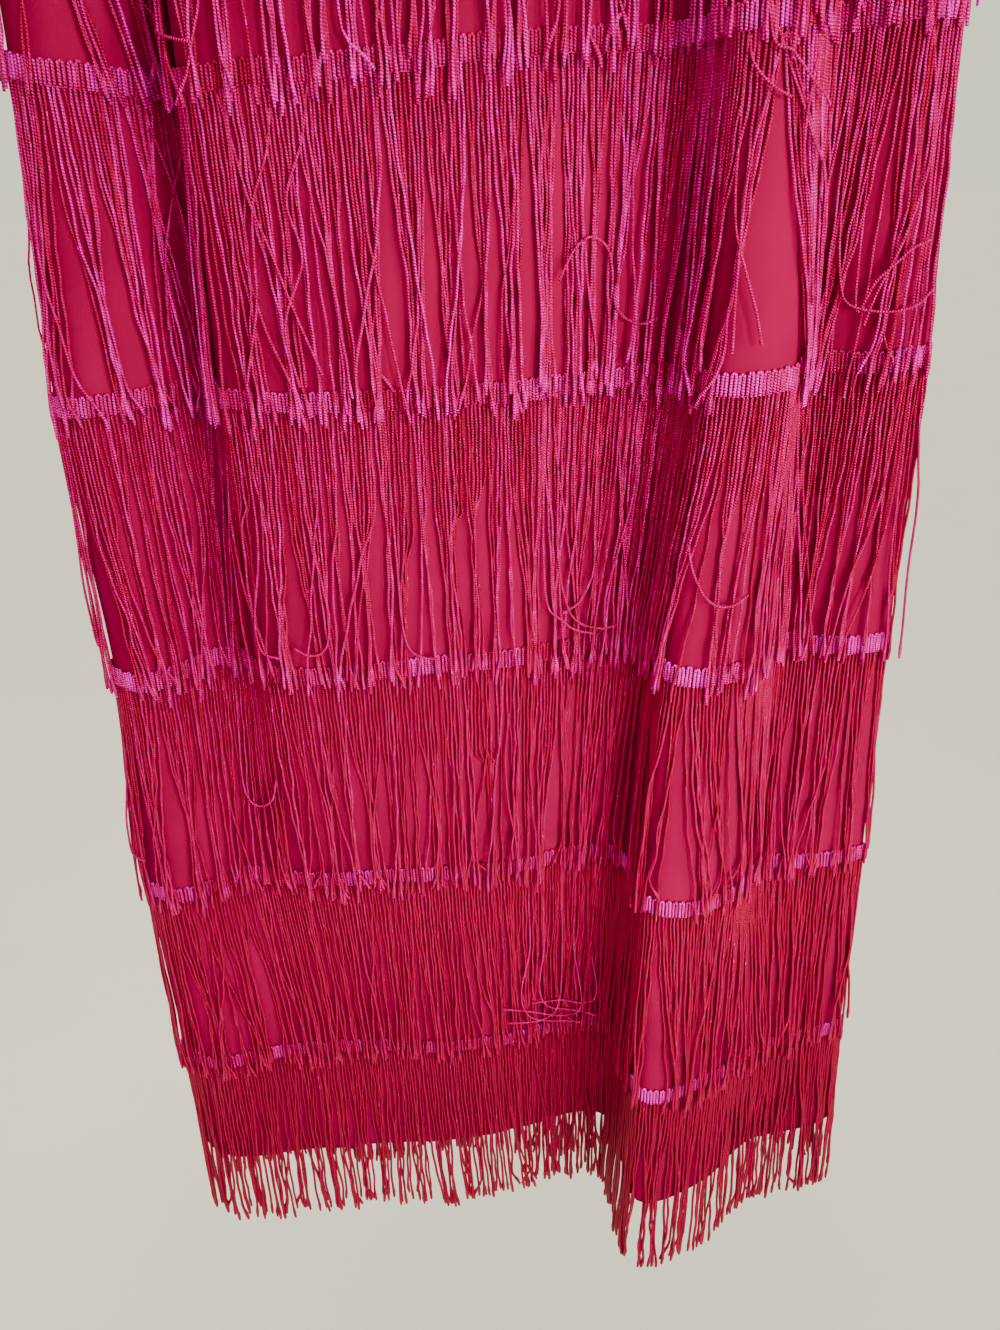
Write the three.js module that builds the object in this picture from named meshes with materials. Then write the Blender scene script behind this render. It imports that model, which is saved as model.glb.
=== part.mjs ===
// Flapper dress on a plain hanger: a sleeveless straight shift in six tiers of long fringe.
// Millimetres. +Z is up, +Y points behind the dress, +X is the viewer's right.
// The origin is the inside top of the hanger's hook, where a peg or rail holds the dress.
import * as THREE from 'three';

// Driving sizes of the dress; heights are measured up from the cloth's hem
const CLOTH = 1.5;
const SEAM_GAP = 0.3;
const SHOULDER_HEIGHT = 1045;
const TIER_COUNT = 6;
const TIER_PITCH = 145;
const LOWEST_BAND = 95;
const TAPE_HEIGHT = 10;
const TAPE_THICK = 1.8;
const FRINGE_DROP = 160;
const UNDERARM_HEIGHT = 848;
const STRAP_OUTER_X = 135;
const STRAP_INNER_X = 96;
const STRAP_FOOT = 940;
const NECK_CORNER = 952;
const NECK_ROUNDNESS = 0.8;
const FRONT_NECK_HEIGHT = 893;
const BACK_NECK_HEIGHT = 925;
const YOKE_Y = 3;
const BACK_YOKE_Y = 32;

// Driving sizes of the hanger
const HANGER_Y = 17;
const BAR_HALF_LENGTH = 186;
const BAR_HALF_DEPTH = 6;
const BAR_HALF_HEIGHT = 7.5;
const BAR_FLAT_HALF = 26;
const BAR_SLOPE = 0.2;
const STRAP_ON_BAR_GAP = 0.4;
const HOOK_ROD = 2;
const HOOK_BEND = 21;
const HOOK_STEM = 24;

// How far each part of a lock of fringe stands off the cloth, from its root to its tip
const LOCK_LEVELS = [
  { part: 'root', inner: 0.3, outer: 2.1, width: 1 },
  { part: 'middle', inner: 2.1, outer: 4.5, width: 1 },
  { part: 'over next tape', inner: 3.3, outer: 5.4, width: 0.92 },
  { part: 'tip', inner: 3.4, outer: 4.8, width: 0.6 },
];

// Lock tips end unevenly, by up to this much
const TIP_STAGGER = 6;

// Lock and gap widths along the cloth, and the plain margin beside each side seam
const FRONT_FRINGE = { lock: 20, gap: 6, margin: 5 };
const BACK_FRINGE = { lock: 25, gap: 8, margin: 5 };

// One row for each section of the dress: the half widths to the left and right seam, then
// where each fold lies (X) and how deep it is (In and Out are the fold's Y), and how much
// the bands rise half way out on the left and at the right end
const SECTIONS = [
  { h: 0, left: 228, right: 229, seam: 8, leftOut: -9, grooveX: -152, grooveIn: -6,
    ridgeX: -112, ridgeOut: -4, troughX: 62, troughIn: 14, foldX: 100, foldWide: 44,
    foldOut: -56, creaseX: 166, creaseIn: -12, rightOut: -5, back: 28, riseLeft: 0, riseRight: 0 },
  { h: 95, left: 228, right: 225, seam: 8, leftOut: -9, grooveX: -150, grooveIn: 0,
    ridgeX: -112, ridgeOut: 0, troughX: 62, troughIn: 14, foldX: 102, foldWide: 44,
    foldOut: -48, creaseX: 164, creaseIn: -14, rightOut: -5, back: 29, riseLeft: 0, riseRight: 0 },
  { h: 240, left: 227, right: 221, seam: 9, leftOut: -12, grooveX: -160, grooveIn: 8,
    ridgeX: -121, ridgeOut: -1, troughX: 65, troughIn: 13, foldX: 105, foldWide: 46,
    foldOut: -37, creaseX: 154, creaseIn: -2, rightOut: 0, back: 31, riseLeft: 0, riseRight: 0 },
  { h: 385, left: 218, right: 216, seam: 10, leftOut: -15, grooveX: -156, grooveIn: 20,
    ridgeX: -124, ridgeOut: -5, troughX: 72, troughIn: 16, foldX: 108, foldWide: 38,
    foldOut: -27, creaseX: 157, creaseIn: 12, rightOut: 4, back: 35, riseLeft: 0, riseRight: 0 },
  { h: 530, left: 221, right: 215, seam: 14, leftOut: 0, grooveX: -150, grooveIn: 30,
    ridgeX: -125, ridgeOut: 0, troughX: 82, troughIn: 26, foldX: 121, foldWide: 33,
    foldOut: -19, creaseX: 155, creaseIn: 18, rightOut: 6, back: 42, riseLeft: 0, riseRight: 8 },
  { h: 675, left: 209, right: 207, seam: 17, leftOut: 7, grooveX: -147, grooveIn: 34,
    ridgeX: -124, ridgeOut: -2, troughX: 90, troughIn: 26, foldX: 120, foldWide: 27,
    foldOut: -14, creaseX: 152, creaseIn: 18, rightOut: 7, back: 45, riseLeft: -10, riseRight: 13 },
  { h: 830, left: 203, right: 202, seam: 18, leftOut: 8, grooveX: -145, grooveIn: 20,
    ridgeX: -122, ridgeOut: -1, troughX: 88, troughIn: 13, foldX: 118, foldWide: 28,
    foldOut: -6, creaseX: 150, creaseIn: 12, rightOut: 8, back: 41, riseLeft: -4, riseRight: 6 },
];

// The back's shallow ripples: where they lie across the dress, and how far each one stands
// behind (+) or before (-) the back's own depth at the hem and under the arms
const BACK_RIPPLES = [
  { across: 0.82, atHem: 0, underArm: -2 },
  { across: 0.5, atHem: 5, underArm: 3 },
  { across: 0.16, atHem: -4, underArm: -2 },
  { across: -0.2, atHem: 6, underArm: 3 },
  { across: -0.52, atHem: -3, underArm: 5 },
  { across: -0.82, atHem: 2, underArm: -2 },
];

// Heights worked out from the sizes above
const STRAP_MIDDLE_X = (STRAP_OUTER_X + STRAP_INNER_X) / 2;
const BAR_CENTRE_HEIGHT = SHOULDER_HEIGHT - BAR_HALF_HEIGHT
  + BAR_SLOPE * (STRAP_MIDDLE_X - BAR_FLAT_HALF);
const HOOK_CENTRE_HEIGHT = BAR_CENTRE_HEIGHT + BAR_HALF_HEIGHT + HOOK_STEM + HOOK_BEND;
const ORIGIN_HEIGHT = HOOK_CENTRE_HEIGHT + HOOK_BEND - HOOK_ROD;

const mix = (a, b, t) => a + (b - a) * t;

// A row's columns at any height, on smooth curves through the sections
function sectionAt(height) {
  const top = SECTIONS.length - 1;
  const h = Math.min(Math.max(height, SECTIONS[0].h), SECTIONS[top].h);
  let i = 0;
  while (i < top - 1 && h > SECTIONS[i + 1].h) i += 1;
  const rows = [i - 1, i, i + 1, i + 2].map((k) => SECTIONS[Math.min(Math.max(k, 0), top)]);
  const span = rows[2].h - rows[1].h;
  const t = (h - rows[1].h) / span;
  const section = {};
  for (const column of Object.keys(rows[1])) {
    const slopeIn = (rows[2][column] - rows[0][column]) / Math.max(rows[2].h - rows[0].h, 1) * span;
    const slopeOut = (rows[3][column] - rows[1][column]) / Math.max(rows[3].h - rows[1].h, 1) * span;
    section[column] = (2 * t ** 3 - 3 * t ** 2 + 1) * rows[1][column] + (t ** 3 - 2 * t ** 2 + t) * slopeIn
      + (3 * t ** 2 - 2 * t ** 3) * rows[2][column] + (t ** 3 - t ** 2) * slopeOut;
  }
  return section;
}

// The points that the dress's ring runs through at a height, from the left seam across the
// front to the right seam and back behind
const LEFT_BULGE = 22;
const RIGHT_BULGE = 24;
const CENTRE_X = -20;
const FOLD_RIGHT_SHARE = 0.8;
const FRONT_KEYS = 10;
function ringKeys(height) {
  const s = sectionAt(height);
  const underArm = height / UNDERARM_HEIGHT;
  const front = [
    [-s.left, s.seam],
    [-s.left + LEFT_BULGE, s.leftOut],
    [s.grooveX, s.grooveIn],
    [s.ridgeX, s.ridgeOut],
    [CENTRE_X, 0],
    [s.troughX, s.troughIn],
    [s.foldX - s.foldWide / 2, s.foldOut],
    [s.foldX + s.foldWide / 2, s.foldOut * FOLD_RIGHT_SHARE],
    [s.creaseX, s.creaseIn],
    [s.right - RIGHT_BULGE, s.rightOut],
    [s.right, s.seam],
  ];
  const back = BACK_RIPPLES.map((r) => [
    r.across * (r.across > 0 ? s.right : s.left),
    s.back + mix(r.atHem, r.underArm, underArm),
  ]);
  const rise = (x) => (x > 0 ? s.riseRight * x / s.right : s.riseLeft * Math.sin(Math.PI * -x / s.left));
  return [...front, ...back].map(([x, y]) => new THREE.Vector3(x, y, height + rise(x)));
}

// A point of the ring: key 0 is the left seam, key 10 the right seam, and the last key the left again
const RING_KEYS = FRONT_KEYS + 1 + BACK_RIPPLES.length;
const ringCurves = new Map();
function ringPoint(height, key) {
  if (!ringCurves.has(height)) {
    ringCurves.set(height, new THREE.CatmullRomCurve3(ringKeys(height), true, 'centripetal'));
  }
  return ringCurves.get(height).getPoint(key / RING_KEYS);
}

// Places along a panel, as ring keys, at the given distances from its first seam
const REFERENCE_HEIGHT = 240;
const TRACE_STEPS = 800;
function keysAtDistances(firstKey, lastKey, distancesFor) {
  const keys = [];
  const lengths = [0];
  let before = ringPoint(REFERENCE_HEIGHT, firstKey);
  for (let i = 0; i <= TRACE_STEPS; i += 1) {
    const key = mix(firstKey, lastKey, i / TRACE_STEPS);
    const here = ringPoint(REFERENCE_HEIGHT, key);
    keys.push(key);
    if (i > 0) lengths.push(lengths[i - 1] + here.distanceTo(before));
    before = here;
  }
  const total = lengths[TRACE_STEPS];
  return distancesFor(total).map((distance) => {
    let i = 1;
    while (i < TRACE_STEPS && lengths[i] < distance) i += 1;
    const t = (distance - lengths[i - 1]) / (lengths[i] - lengths[i - 1]);
    return mix(keys[i - 1], keys[i], t);
  });
}

// Column distances: a margin, then locks with gaps between them, then a margin
function fringeColumns({ lock, gap, margin }) {
  return (total) => {
    const count = Math.floor((total - 2 * margin + gap) / (lock + gap));
    const scale = (total - 2 * margin) / (count * lock + (count - 1) * gap);
    const distances = [SEAM_GAP / 2];
    for (let i = 0; i < count; i += 1) {
      const start = margin + i * (lock + gap) * scale;
      distances.push(start, start + lock * scale);
    }
    return [...distances, total - SEAM_GAP / 2];
  };
}

// Panel rows: three for each tier (mid fall, tape bottom, tape top), then the yoke and straps
const BANDS = Array.from({ length: TIER_COUNT }, (_, i) => LOWEST_BAND + i * TIER_PITCH);
const RING_ROWS = [0];
for (const band of BANDS) {
  const below = RING_ROWS[RING_ROWS.length - 1];
  RING_ROWS.push((below + band - TAPE_HEIGHT / 2) / 2, band - TAPE_HEIGHT / 2, band + TAPE_HEIGHT / 2);
}
const YOKE_STEPS = [0.3, 0.65, 1];
const STRAP_RISE_STEPS = [0.35, 0.7, 0.94];
const BAR_ANGLES = [22.5, 67.5];
const YOKE_ROW = RING_ROWS.length - 1 + YOKE_STEPS.length;
const TOP_ROW = YOKE_ROW + STRAP_RISE_STEPS.length + BAR_ANGLES.length + 1;

const barCentreAt = (x) => BAR_CENTRE_HEIGHT - BAR_SLOPE * Math.max(Math.abs(x) - BAR_FLAT_HALF, 0);
const radians = (degrees) => degrees * Math.PI / 180;

// Half the depth and height of the strap's outer face as it goes over the bar
const STRAP_DEPTH = BAR_HALF_DEPTH + STRAP_ON_BAR_GAP + CLOTH;
const STRAP_RISE = BAR_HALF_HEIGHT + STRAP_ON_BAR_GAP + CLOTH;

// Offsets at a corner of the lattice grow by at most the inverse of this
const SHARPEST_MITRE = 0.6;

// A panel is a lattice of columns along the cloth and rows up it. `side` is +1 for the front,
// whose columns run from left to right, and -1 for the back, whose columns run back again.
function makePanel({ side, firstKey, lastKey, fringe, neckHeight, yokeY }) {
  const keys = keysAtDistances(firstKey, lastKey, fringeColumns(fringe));
  const last = keys.length - 1;
  const topPoints = keys.map((key) => ringPoint(RING_ROWS[RING_ROWS.length - 1], key));
  const columnNear = (x) => topPoints.reduce((best, p, c) => (
    Math.abs(p.x - x) < Math.abs(topPoints[best].x - x) ? c : best), 0);
  // Strap edges in column order
  const straps = [-side, side].map((sign) => {
    const edges = [columnNear(sign * STRAP_OUTER_X), columnNear(sign * STRAP_INNER_X)];
    return { sign, from: Math.min(...edges), to: Math.max(...edges) };
  });
  const seamX = (c) => topPoints[c <= last / 2 ? 0 : last].x;

  // Where each column ends at the armhole, the foot of a strap, or the neckline
  function yokePoint(c) {
    const [first, second] = straps;
    if (c > first.to && c < second.from) {
      const across = (c - first.to) / (second.from - first.to);
      const x = first.sign * STRAP_INNER_X * Math.cos(Math.PI * across);
      const dip = Math.sin(Math.PI * across) ** NECK_ROUNDNESS;
      return new THREE.Vector3(x, yokeY, mix(NECK_CORNER, neckHeight, dip));
    }
    const strap = c <= last / 2 ? first : second;
    if (c >= strap.from && c <= strap.to) {
      const t = (c - strap.from) / (strap.to - strap.from);
      const inwards = strap === first ? t : 1 - t;
      const x = strap.sign * mix(STRAP_OUTER_X, STRAP_INNER_X, inwards);
      return new THREE.Vector3(x, yokeY, mix(STRAP_FOOT, NECK_CORNER, inwards));
    }
    const edge = strap === first ? strap.from : strap.to;
    const seam = strap === first ? 0 : last;
    const t = (c - seam) / (edge - seam);
    const quarter = t * Math.PI / 2;
    const x = mix(seamX(c), strap.sign * STRAP_OUTER_X, Math.sin(quarter));
    const y = mix(topPoints[seam].y, yokeY, Math.sqrt(Math.sin(quarter)));
    return new THREE.Vector3(x, y, mix(STRAP_FOOT, UNDERARM_HEIGHT, Math.cos(quarter)));
  }

  // The cloth's outer face, before any offset
  function outline(c, r) {
    if (r < RING_ROWS.length) return ringPoint(RING_ROWS[r], keys[c]);
    const yoke = yokePoint(c);
    if (r <= YOKE_ROW) {
      return topPoints[c].clone().lerp(yoke, YOKE_STEPS[r - RING_ROWS.length]);
    }
    const centre = barCentreAt(yoke.x);
    const faceY = HANGER_Y - side * STRAP_DEPTH;
    const step = r - YOKE_ROW - 1;
    if (step < STRAP_RISE_STEPS.length) {
      const t = STRAP_RISE_STEPS[step];
      return new THREE.Vector3(yoke.x, mix(yoke.y, faceY, t ** 2), mix(yoke.z, centre - BAR_HALF_HEIGHT, t));
    }
    const atSeam = r === TOP_ROW;
    const angle = radians(atSeam ? BAR_ANGLES[1] : BAR_ANGLES[step - STRAP_RISE_STEPS.length]);
    const y = HANGER_Y - side * (atSeam ? SEAM_GAP / 2 : STRAP_DEPTH * Math.cos(angle));
    return new THREE.Vector3(yoke.x, y, centre + STRAP_RISE * Math.sin(angle));
  }

  const inStrap = (c) => straps.some((s) => c >= s.from && c < s.to);
  const hasCell = (c, r) => c >= 0 && c < last && r >= 0 && r < TOP_ROW && (r < YOKE_ROW || inStrap(c));

  // Offsets are level below the yoke and follow the bar's corners above it
  function offset(c, r, distance) {
    const here = outline(c, r);
    const strap = r > YOKE_ROW && straps.find((s) => c >= s.from && c <= s.to);
    const before = outline(strap ? Math.max(c - 1, strap.from) : Math.max(c - 1, 0), r);
    const after = outline(strap ? Math.min(c + 1, strap.to) : Math.min(c + 1, last), r);
    if (r > YOKE_ROW + STRAP_RISE_STEPS.length) return offsetOverBar(here, r, distance);
    if (!strap && (c === 0 || c === last)) {
      return here.add(new THREE.Vector3(Math.sign(here.x) * distance, 0, 0));
    }
    const normals = [[before, here], [here, after]]
      .filter(([a, b]) => a.distanceTo(b) > 1e-6)
      .map(([a, b]) => new THREE.Vector3(b.y - a.y, a.x - b.x, 0).normalize());
    const sum = normals.reduce((total, n) => total.add(n), new THREE.Vector3()).normalize();
    const mitre = Math.max(sum.dot(normals[0]), SHARPEST_MITRE);
    return here.add(sum.multiplyScalar(distance / mitre));
  }

  // Over the bar the cloth's two faces are two sizes of the bar's own section
  function offsetOverBar(here, r, distance) {
    const centre = barCentreAt(here.x);
    const deeper = (STRAP_DEPTH + distance) / STRAP_DEPTH;
    const y = r === TOP_ROW ? here.y : HANGER_Y + (here.y - HANGER_Y) * deeper;
    return new THREE.Vector3(here.x, y, centre + (here.z - centre) * (STRAP_RISE + distance) / STRAP_RISE);
  }

  return { last, hasCell, offset };
}

// A closed mesh put together from named corners and four-sided faces
class Solid {
  constructor() {
    this.positions = [];
    this.corners = new Map();
    this.triangles = [];
  }

  corner(name, makePoint) {
    if (!this.corners.has(name)) {
      this.corners.set(name, this.positions.length / 3);
      this.positions.push(...makePoint().toArray());
    }
    return this.corners.get(name);
  }

  face(a, b, c, d) {
    this.triangles.push(a, b, c, a, c, d);
  }

  geometry() {
    const geometry = new THREE.BufferGeometry();
    geometry.setAttribute('position', new THREE.Float32BufferAttribute(this.positions, 3));
    geometry.setIndex(this.triangles);
    geometry.computeVertexNormals();
    return geometry;
  }
}

// Each panel comes in three pieces, which part just behind the top edges of two tapes
const tapeTopRow = (tier) => 3 * (TIER_COUNT - tier + 1);
const PANEL_PIECES = [
  { name: 'skirt', fromRow: 0, toRow: tapeTopRow(4) },
  { name: 'body', fromRow: tapeTopRow(4), toRow: tapeTopRow(2) },
  { name: 'yoke', fromRow: tapeTopRow(2), toRow: TOP_ROW },
];

// The cloth wall of one piece: outer and inner faces over its cells, closed along every edge
function panelGeometry(panel, { fromRow, toRow }) {
  const solid = new Solid();
  const at = (face, c, r) => solid.corner(`${face},${c},${r}`, () => {
    const point = panel.offset(c, r, face === 'outer' ? 0 : -CLOTH);
    if (r === fromRow && r > 0) point.z -= SEAM_GAP / 2;
    if (r === toRow && r < TOP_ROW) point.z -= SEAM_GAP * 1.5;
    return point;
  });
  const hasCell = (c, r) => r >= fromRow && r < toRow && panel.hasCell(c, r);
  for (let r = fromRow; r < toRow; r += 1) {
    for (let c = 0; c < panel.last; c += 1) {
      if (!hasCell(c, r)) continue;
      const [o, i] = ['outer', 'inner'].map((f) => [at(f, c, r), at(f, c + 1, r), at(f, c + 1, r + 1), at(f, c, r + 1)]);
      solid.face(...o);
      solid.triangles.push(i[0], i[2], i[1], i[0], i[3], i[2]);
      if (!hasCell(c, r - 1)) solid.face(o[1], o[0], i[0], i[1]);
      if (!hasCell(c + 1, r)) solid.face(o[2], o[1], i[1], i[2]);
      if (!hasCell(c, r + 1)) solid.face(o[3], o[2], i[2], i[3]);
      if (!hasCell(c - 1, r)) solid.face(o[0], o[3], i[3], i[0]);
    }
  }
  return solid.geometry();
}

// One tier's fringe on one panel: a narrow tape with locks hanging from its lower edge
function fringeGeometry(panel, tier) {
  const solid = new Solid();
  const tapeRows = { top: tapeTopRow(tier), bottom: tapeTopRow(tier) - 1 };
  const lowest = tier === TIER_COUNT;
  const depths = { inner: LOCK_LEVELS[0].inner, outer: LOCK_LEVELS[0].inner + TAPE_THICK };
  const tape = (face, edge, c) => solid.corner(`${face},${edge},${c}`,
    () => panel.offset(c, tapeRows[edge], depths[face]));
  const isLock = (c) => c % 2 === 1;

  for (let c = 0; c < panel.last; c += 1) {
    const corners = (face) => [tape(face, 'bottom', c), tape(face, 'bottom', c + 1),
      tape(face, 'top', c + 1), tape(face, 'top', c)];
    const o = corners('outer');
    const i = corners('inner');
    solid.face(...o);
    solid.triangles.push(i[0], i[2], i[1], i[0], i[3], i[2]);
    solid.face(o[3], o[2], i[2], i[3]);
    if (c === 0) solid.face(o[0], o[3], i[3], i[0]);
    if (c === panel.last - 1) solid.face(o[2], o[1], i[1], i[2]);
    if (isLock(c)) addLock(c, o, i);
    else solid.face(o[1], o[0], i[0], i[1]);
  }

  // A lock's corners at one level, narrowed about its middle
  function lockCorner(c, level, face, right) {
    const { width } = LOCK_LEVELS[level];
    const distance = LOCK_LEVELS[level][face];
    const ends = [0, 1].map((k) => lockPlace(c + k, level, distance, c));
    return ends[0].clone().lerp(ends[1], 0.5 + (right ? 0.5 : -0.5) * width);
  }

  // Levels follow the panel's rows; past the hem, or past the next tape, the tip hangs on straight
  function lockPlace(c, level, distance, lock) {
    if (level < LOCK_LEVELS.length - 1) return panel.offset(c, tapeRows.bottom - level, distance);
    const last = panel.offset(c, tapeRows.bottom - level + 1, distance);
    const band = LOWEST_BAND + (TIER_COUNT - tier) * TIER_PITCH;
    const tip = band + TAPE_HEIGHT / 2 - FRINGE_DROP + TIP_STAGGER * Math.sin(lock * 1.9 + tier);
    if (lowest) return last.setZ(tip);
    const upper = panel.offset(c, tapeRows.bottom - level, distance);
    const lower = panel.offset(c, tapeRows.bottom - level - 1, distance);
    return lower.lerp(upper, (tip - RING_ROWS[tapeRows.bottom - level - 1])
      / (RING_ROWS[tapeRows.bottom - level] - RING_ROWS[tapeRows.bottom - level - 1]));
  }

  function addLock(c, o, i) {
    let above = { ol: o[0], or: o[1], il: i[0], ir: i[1] };
    for (let level = 1; level < LOCK_LEVELS.length; level += 1) {
      const make = (face, right) => solid.corner(`lock,${c},${level},${face},${right}`,
        () => lockCorner(c, level, face, right));
      const here = { ol: make('outer', false), or: make('outer', true),
        il: make('inner', false), ir: make('inner', true) };
      solid.face(here.ol, here.or, above.or, above.ol);
      solid.face(here.il, above.il, above.ir, here.ir);
      solid.face(here.il, here.ol, above.ol, above.il);
      solid.face(here.or, here.ir, above.ir, above.or);
      above = here;
    }
    solid.face(above.ir, above.or, above.ol, above.il);
  }

  return solid.geometry();
}

// The hanger's bar: rings of its eight-sided section, level in the middle and sloping to the tips
function barGeometry() {
  const solid = new Solid();
  const sides = 8;
  const stations = [
    [-BAR_HALF_LENGTH, 0.55], [-BAR_HALF_LENGTH + 3, 0.88], [-BAR_HALF_LENGTH + 9, 1],
    [-BAR_FLAT_HALF, 1], [BAR_FLAT_HALF, 1],
    [BAR_HALF_LENGTH - 9, 1], [BAR_HALF_LENGTH - 3, 0.88], [BAR_HALF_LENGTH, 0.55],
  ];
  const ring = stations.map(([x, size], s) => Array.from({ length: sides }, (_, k) => {
    const angle = radians(BAR_ANGLES[0] + k * 360 / sides);
    return solid.corner(`${s},${k}`, () => new THREE.Vector3(x,
      HANGER_Y + size * BAR_HALF_DEPTH * Math.cos(angle),
      barCentreAt(x) + size * BAR_HALF_HEIGHT * Math.sin(angle)));
  }));
  for (let s = 0; s < stations.length - 1; s += 1) {
    for (let k = 0; k < sides; k += 1) {
      const next = (k + 1) % sides;
      solid.face(ring[s][k], ring[s][next], ring[s + 1][next], ring[s + 1][k]);
    }
  }
  for (let k = 1; k < sides - 1; k += 1) {
    const end = stations.length - 1;
    solid.triangles.push(ring[0][0], ring[0][k + 1], ring[0][k]);
    solid.triangles.push(ring[end][0], ring[end][k], ring[end][k + 1]);
  }
  return solid.geometry();
}

// The hanger's hook: a round rod up from the bar, bent three quarters of the way round
function hookGeometry() {
  const foot = BAR_CENTRE_HEIGHT + BAR_HALF_HEIGHT * Math.sin(radians(BAR_ANGLES[1])) + SEAM_GAP;
  const points = [[0, foot], [0, foot + 4], [1.5, foot + HOOK_STEM * 0.45], [11, foot + HOOK_STEM * 0.9]];
  for (let degrees = -30; degrees <= 195; degrees += 25) {
    const angle = radians(degrees);
    points.push([HOOK_BEND * Math.cos(angle), HOOK_CENTRE_HEIGHT + HOOK_BEND * Math.sin(angle)]);
  }
  const path = new THREE.CatmullRomCurve3(points.map(([x, z]) => new THREE.Vector3(x, HANGER_Y, z)));
  const sides = 8;
  const section = new THREE.Shape(Array.from({ length: sides }, (_, k) => {
    const angle = radians(BAR_ANGLES[0] + k * 360 / sides);
    return new THREE.Vector2(HOOK_ROD * Math.cos(angle), HOOK_ROD * Math.sin(angle));
  }));
  return new THREE.ExtrudeGeometry(section, { steps: 30, bevelEnabled: false, extrudePath: path });
}

// Materials: each piece has its own, in the colours of dyed jersey, rayon fringe, wood and wire
function piece(name, geometry, colour, roughness, metalness) {
  const material = new THREE.MeshStandardMaterial({ color: colour, roughness, metalness });
  const mesh = new THREE.Mesh(geometry, material);
  mesh.name = name;
  return mesh;
}

const CLOTH_COLOUR = 0xc8285a;
const FRINGE_COLOUR = 0xa81c50;
const WOOD_COLOUR = 0xb98f62;
const WIRE_COLOUR = 0xc9cbcc;

const front = makePanel({ side: 1, firstKey: 0, lastKey: FRONT_KEYS, fringe: FRONT_FRINGE,
  neckHeight: FRONT_NECK_HEIGHT, yokeY: YOKE_Y });
const back = makePanel({ side: -1, firstKey: FRONT_KEYS, lastKey: RING_KEYS, fringe: BACK_FRINGE,
  neckHeight: BACK_NECK_HEIGHT, yokeY: BACK_YOKE_Y });

const dress = new THREE.Group();
for (const rows of PANEL_PIECES) {
  dress.add(piece(`front_${rows.name}`, panelGeometry(front, rows), CLOTH_COLOUR, 0.9, 0));
  dress.add(piece(`back_${rows.name}`, panelGeometry(back, rows), CLOTH_COLOUR, 0.9, 0));
}
for (let tier = 1; tier <= TIER_COUNT; tier += 1) {
  dress.add(piece(`front_fringe_${tier}`, fringeGeometry(front, tier), FRINGE_COLOUR, 0.5, 0));
  dress.add(piece(`back_fringe_${tier}`, fringeGeometry(back, tier), FRINGE_COLOUR, 0.5, 0));
}
dress.add(piece('hanger_bar', barGeometry(), WOOD_COLOUR, 0.5, 0));
dress.add(piece('hanger_hook', hookGeometry(), WIRE_COLOUR, 0.3, 1));
dress.position.set(0, -HANGER_Y, -ORIGIN_HEIGHT);

const part = new THREE.Group();
part.add(dress);

export default part;
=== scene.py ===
import math

import bpy
import numpy as np
from mathutils import Matrix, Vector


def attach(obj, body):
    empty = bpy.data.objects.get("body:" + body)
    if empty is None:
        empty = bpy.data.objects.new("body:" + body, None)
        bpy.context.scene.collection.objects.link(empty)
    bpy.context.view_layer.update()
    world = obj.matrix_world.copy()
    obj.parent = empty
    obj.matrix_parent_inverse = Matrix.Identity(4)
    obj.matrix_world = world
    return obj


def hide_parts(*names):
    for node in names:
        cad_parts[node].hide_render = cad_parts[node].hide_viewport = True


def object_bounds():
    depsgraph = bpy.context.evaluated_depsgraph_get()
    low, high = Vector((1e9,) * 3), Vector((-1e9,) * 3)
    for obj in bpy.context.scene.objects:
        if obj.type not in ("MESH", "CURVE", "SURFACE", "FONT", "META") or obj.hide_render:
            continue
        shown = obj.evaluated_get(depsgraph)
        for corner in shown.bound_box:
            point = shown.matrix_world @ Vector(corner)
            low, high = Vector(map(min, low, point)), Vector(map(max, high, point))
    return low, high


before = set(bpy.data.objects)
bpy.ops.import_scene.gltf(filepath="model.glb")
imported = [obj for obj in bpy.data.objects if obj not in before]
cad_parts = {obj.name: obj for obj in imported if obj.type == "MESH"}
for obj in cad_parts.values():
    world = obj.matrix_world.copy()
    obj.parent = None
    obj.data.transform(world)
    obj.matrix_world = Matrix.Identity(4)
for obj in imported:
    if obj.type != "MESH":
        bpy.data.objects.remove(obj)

cad_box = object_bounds()

# The form below is in millimetres, measured up from the cloth's hem and from the front's own
# plane; to_frame() moves it into the part's frame, in metres
MM = 0.001
SEAM_GAP = 0.3
SHOULDER_HEIGHT = 1045
TIER_COUNT = 6
TIER_PITCH = 145
LOWEST_BAND = 95
UNDERARM_HEIGHT = 848
STRAP_OUTER_X = 135
STRAP_INNER_X = 96
STRAP_FOOT = 940
NECK_CORNER = 952
NECK_ROUNDNESS = 0.8
FRONT_NECK_HEIGHT = 893
BACK_NECK_HEIGHT = 925
YOKE_Y = 3
BACK_YOKE_Y = 32
HANGER_Y = 17
BAR_HALF_LENGTH = 186
BAR_HALF_DEPTH = 6
BAR_HALF_HEIGHT = 7.5
BAR_FLAT_HALF = 26
BAR_SLOPE = 0.2
HOOK_ROD = 2
HOOK_BEND = 21
HOOK_STEM = 24
CLOTH = 1.2
STRAP_ON_BAR_GAP = 0.6
BAR_CENTRE = (SHOULDER_HEIGHT - BAR_HALF_HEIGHT
              + BAR_SLOPE * ((STRAP_OUTER_X + STRAP_INNER_X) / 2 - BAR_FLAT_HALF))
HOOK_CENTRE = BAR_CENTRE + BAR_HALF_HEIGHT + HOOK_STEM + HOOK_BEND
ORIGIN_HEIGHT = HOOK_CENTRE + HOOK_BEND - HOOK_ROD


def to_frame(points):
    """Millimetres from the hem and the front's plane, to metres from the hook."""
    return (np.asarray(points, float) - (0, HANGER_Y, ORIGIN_HEIGHT)) * MM


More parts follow.
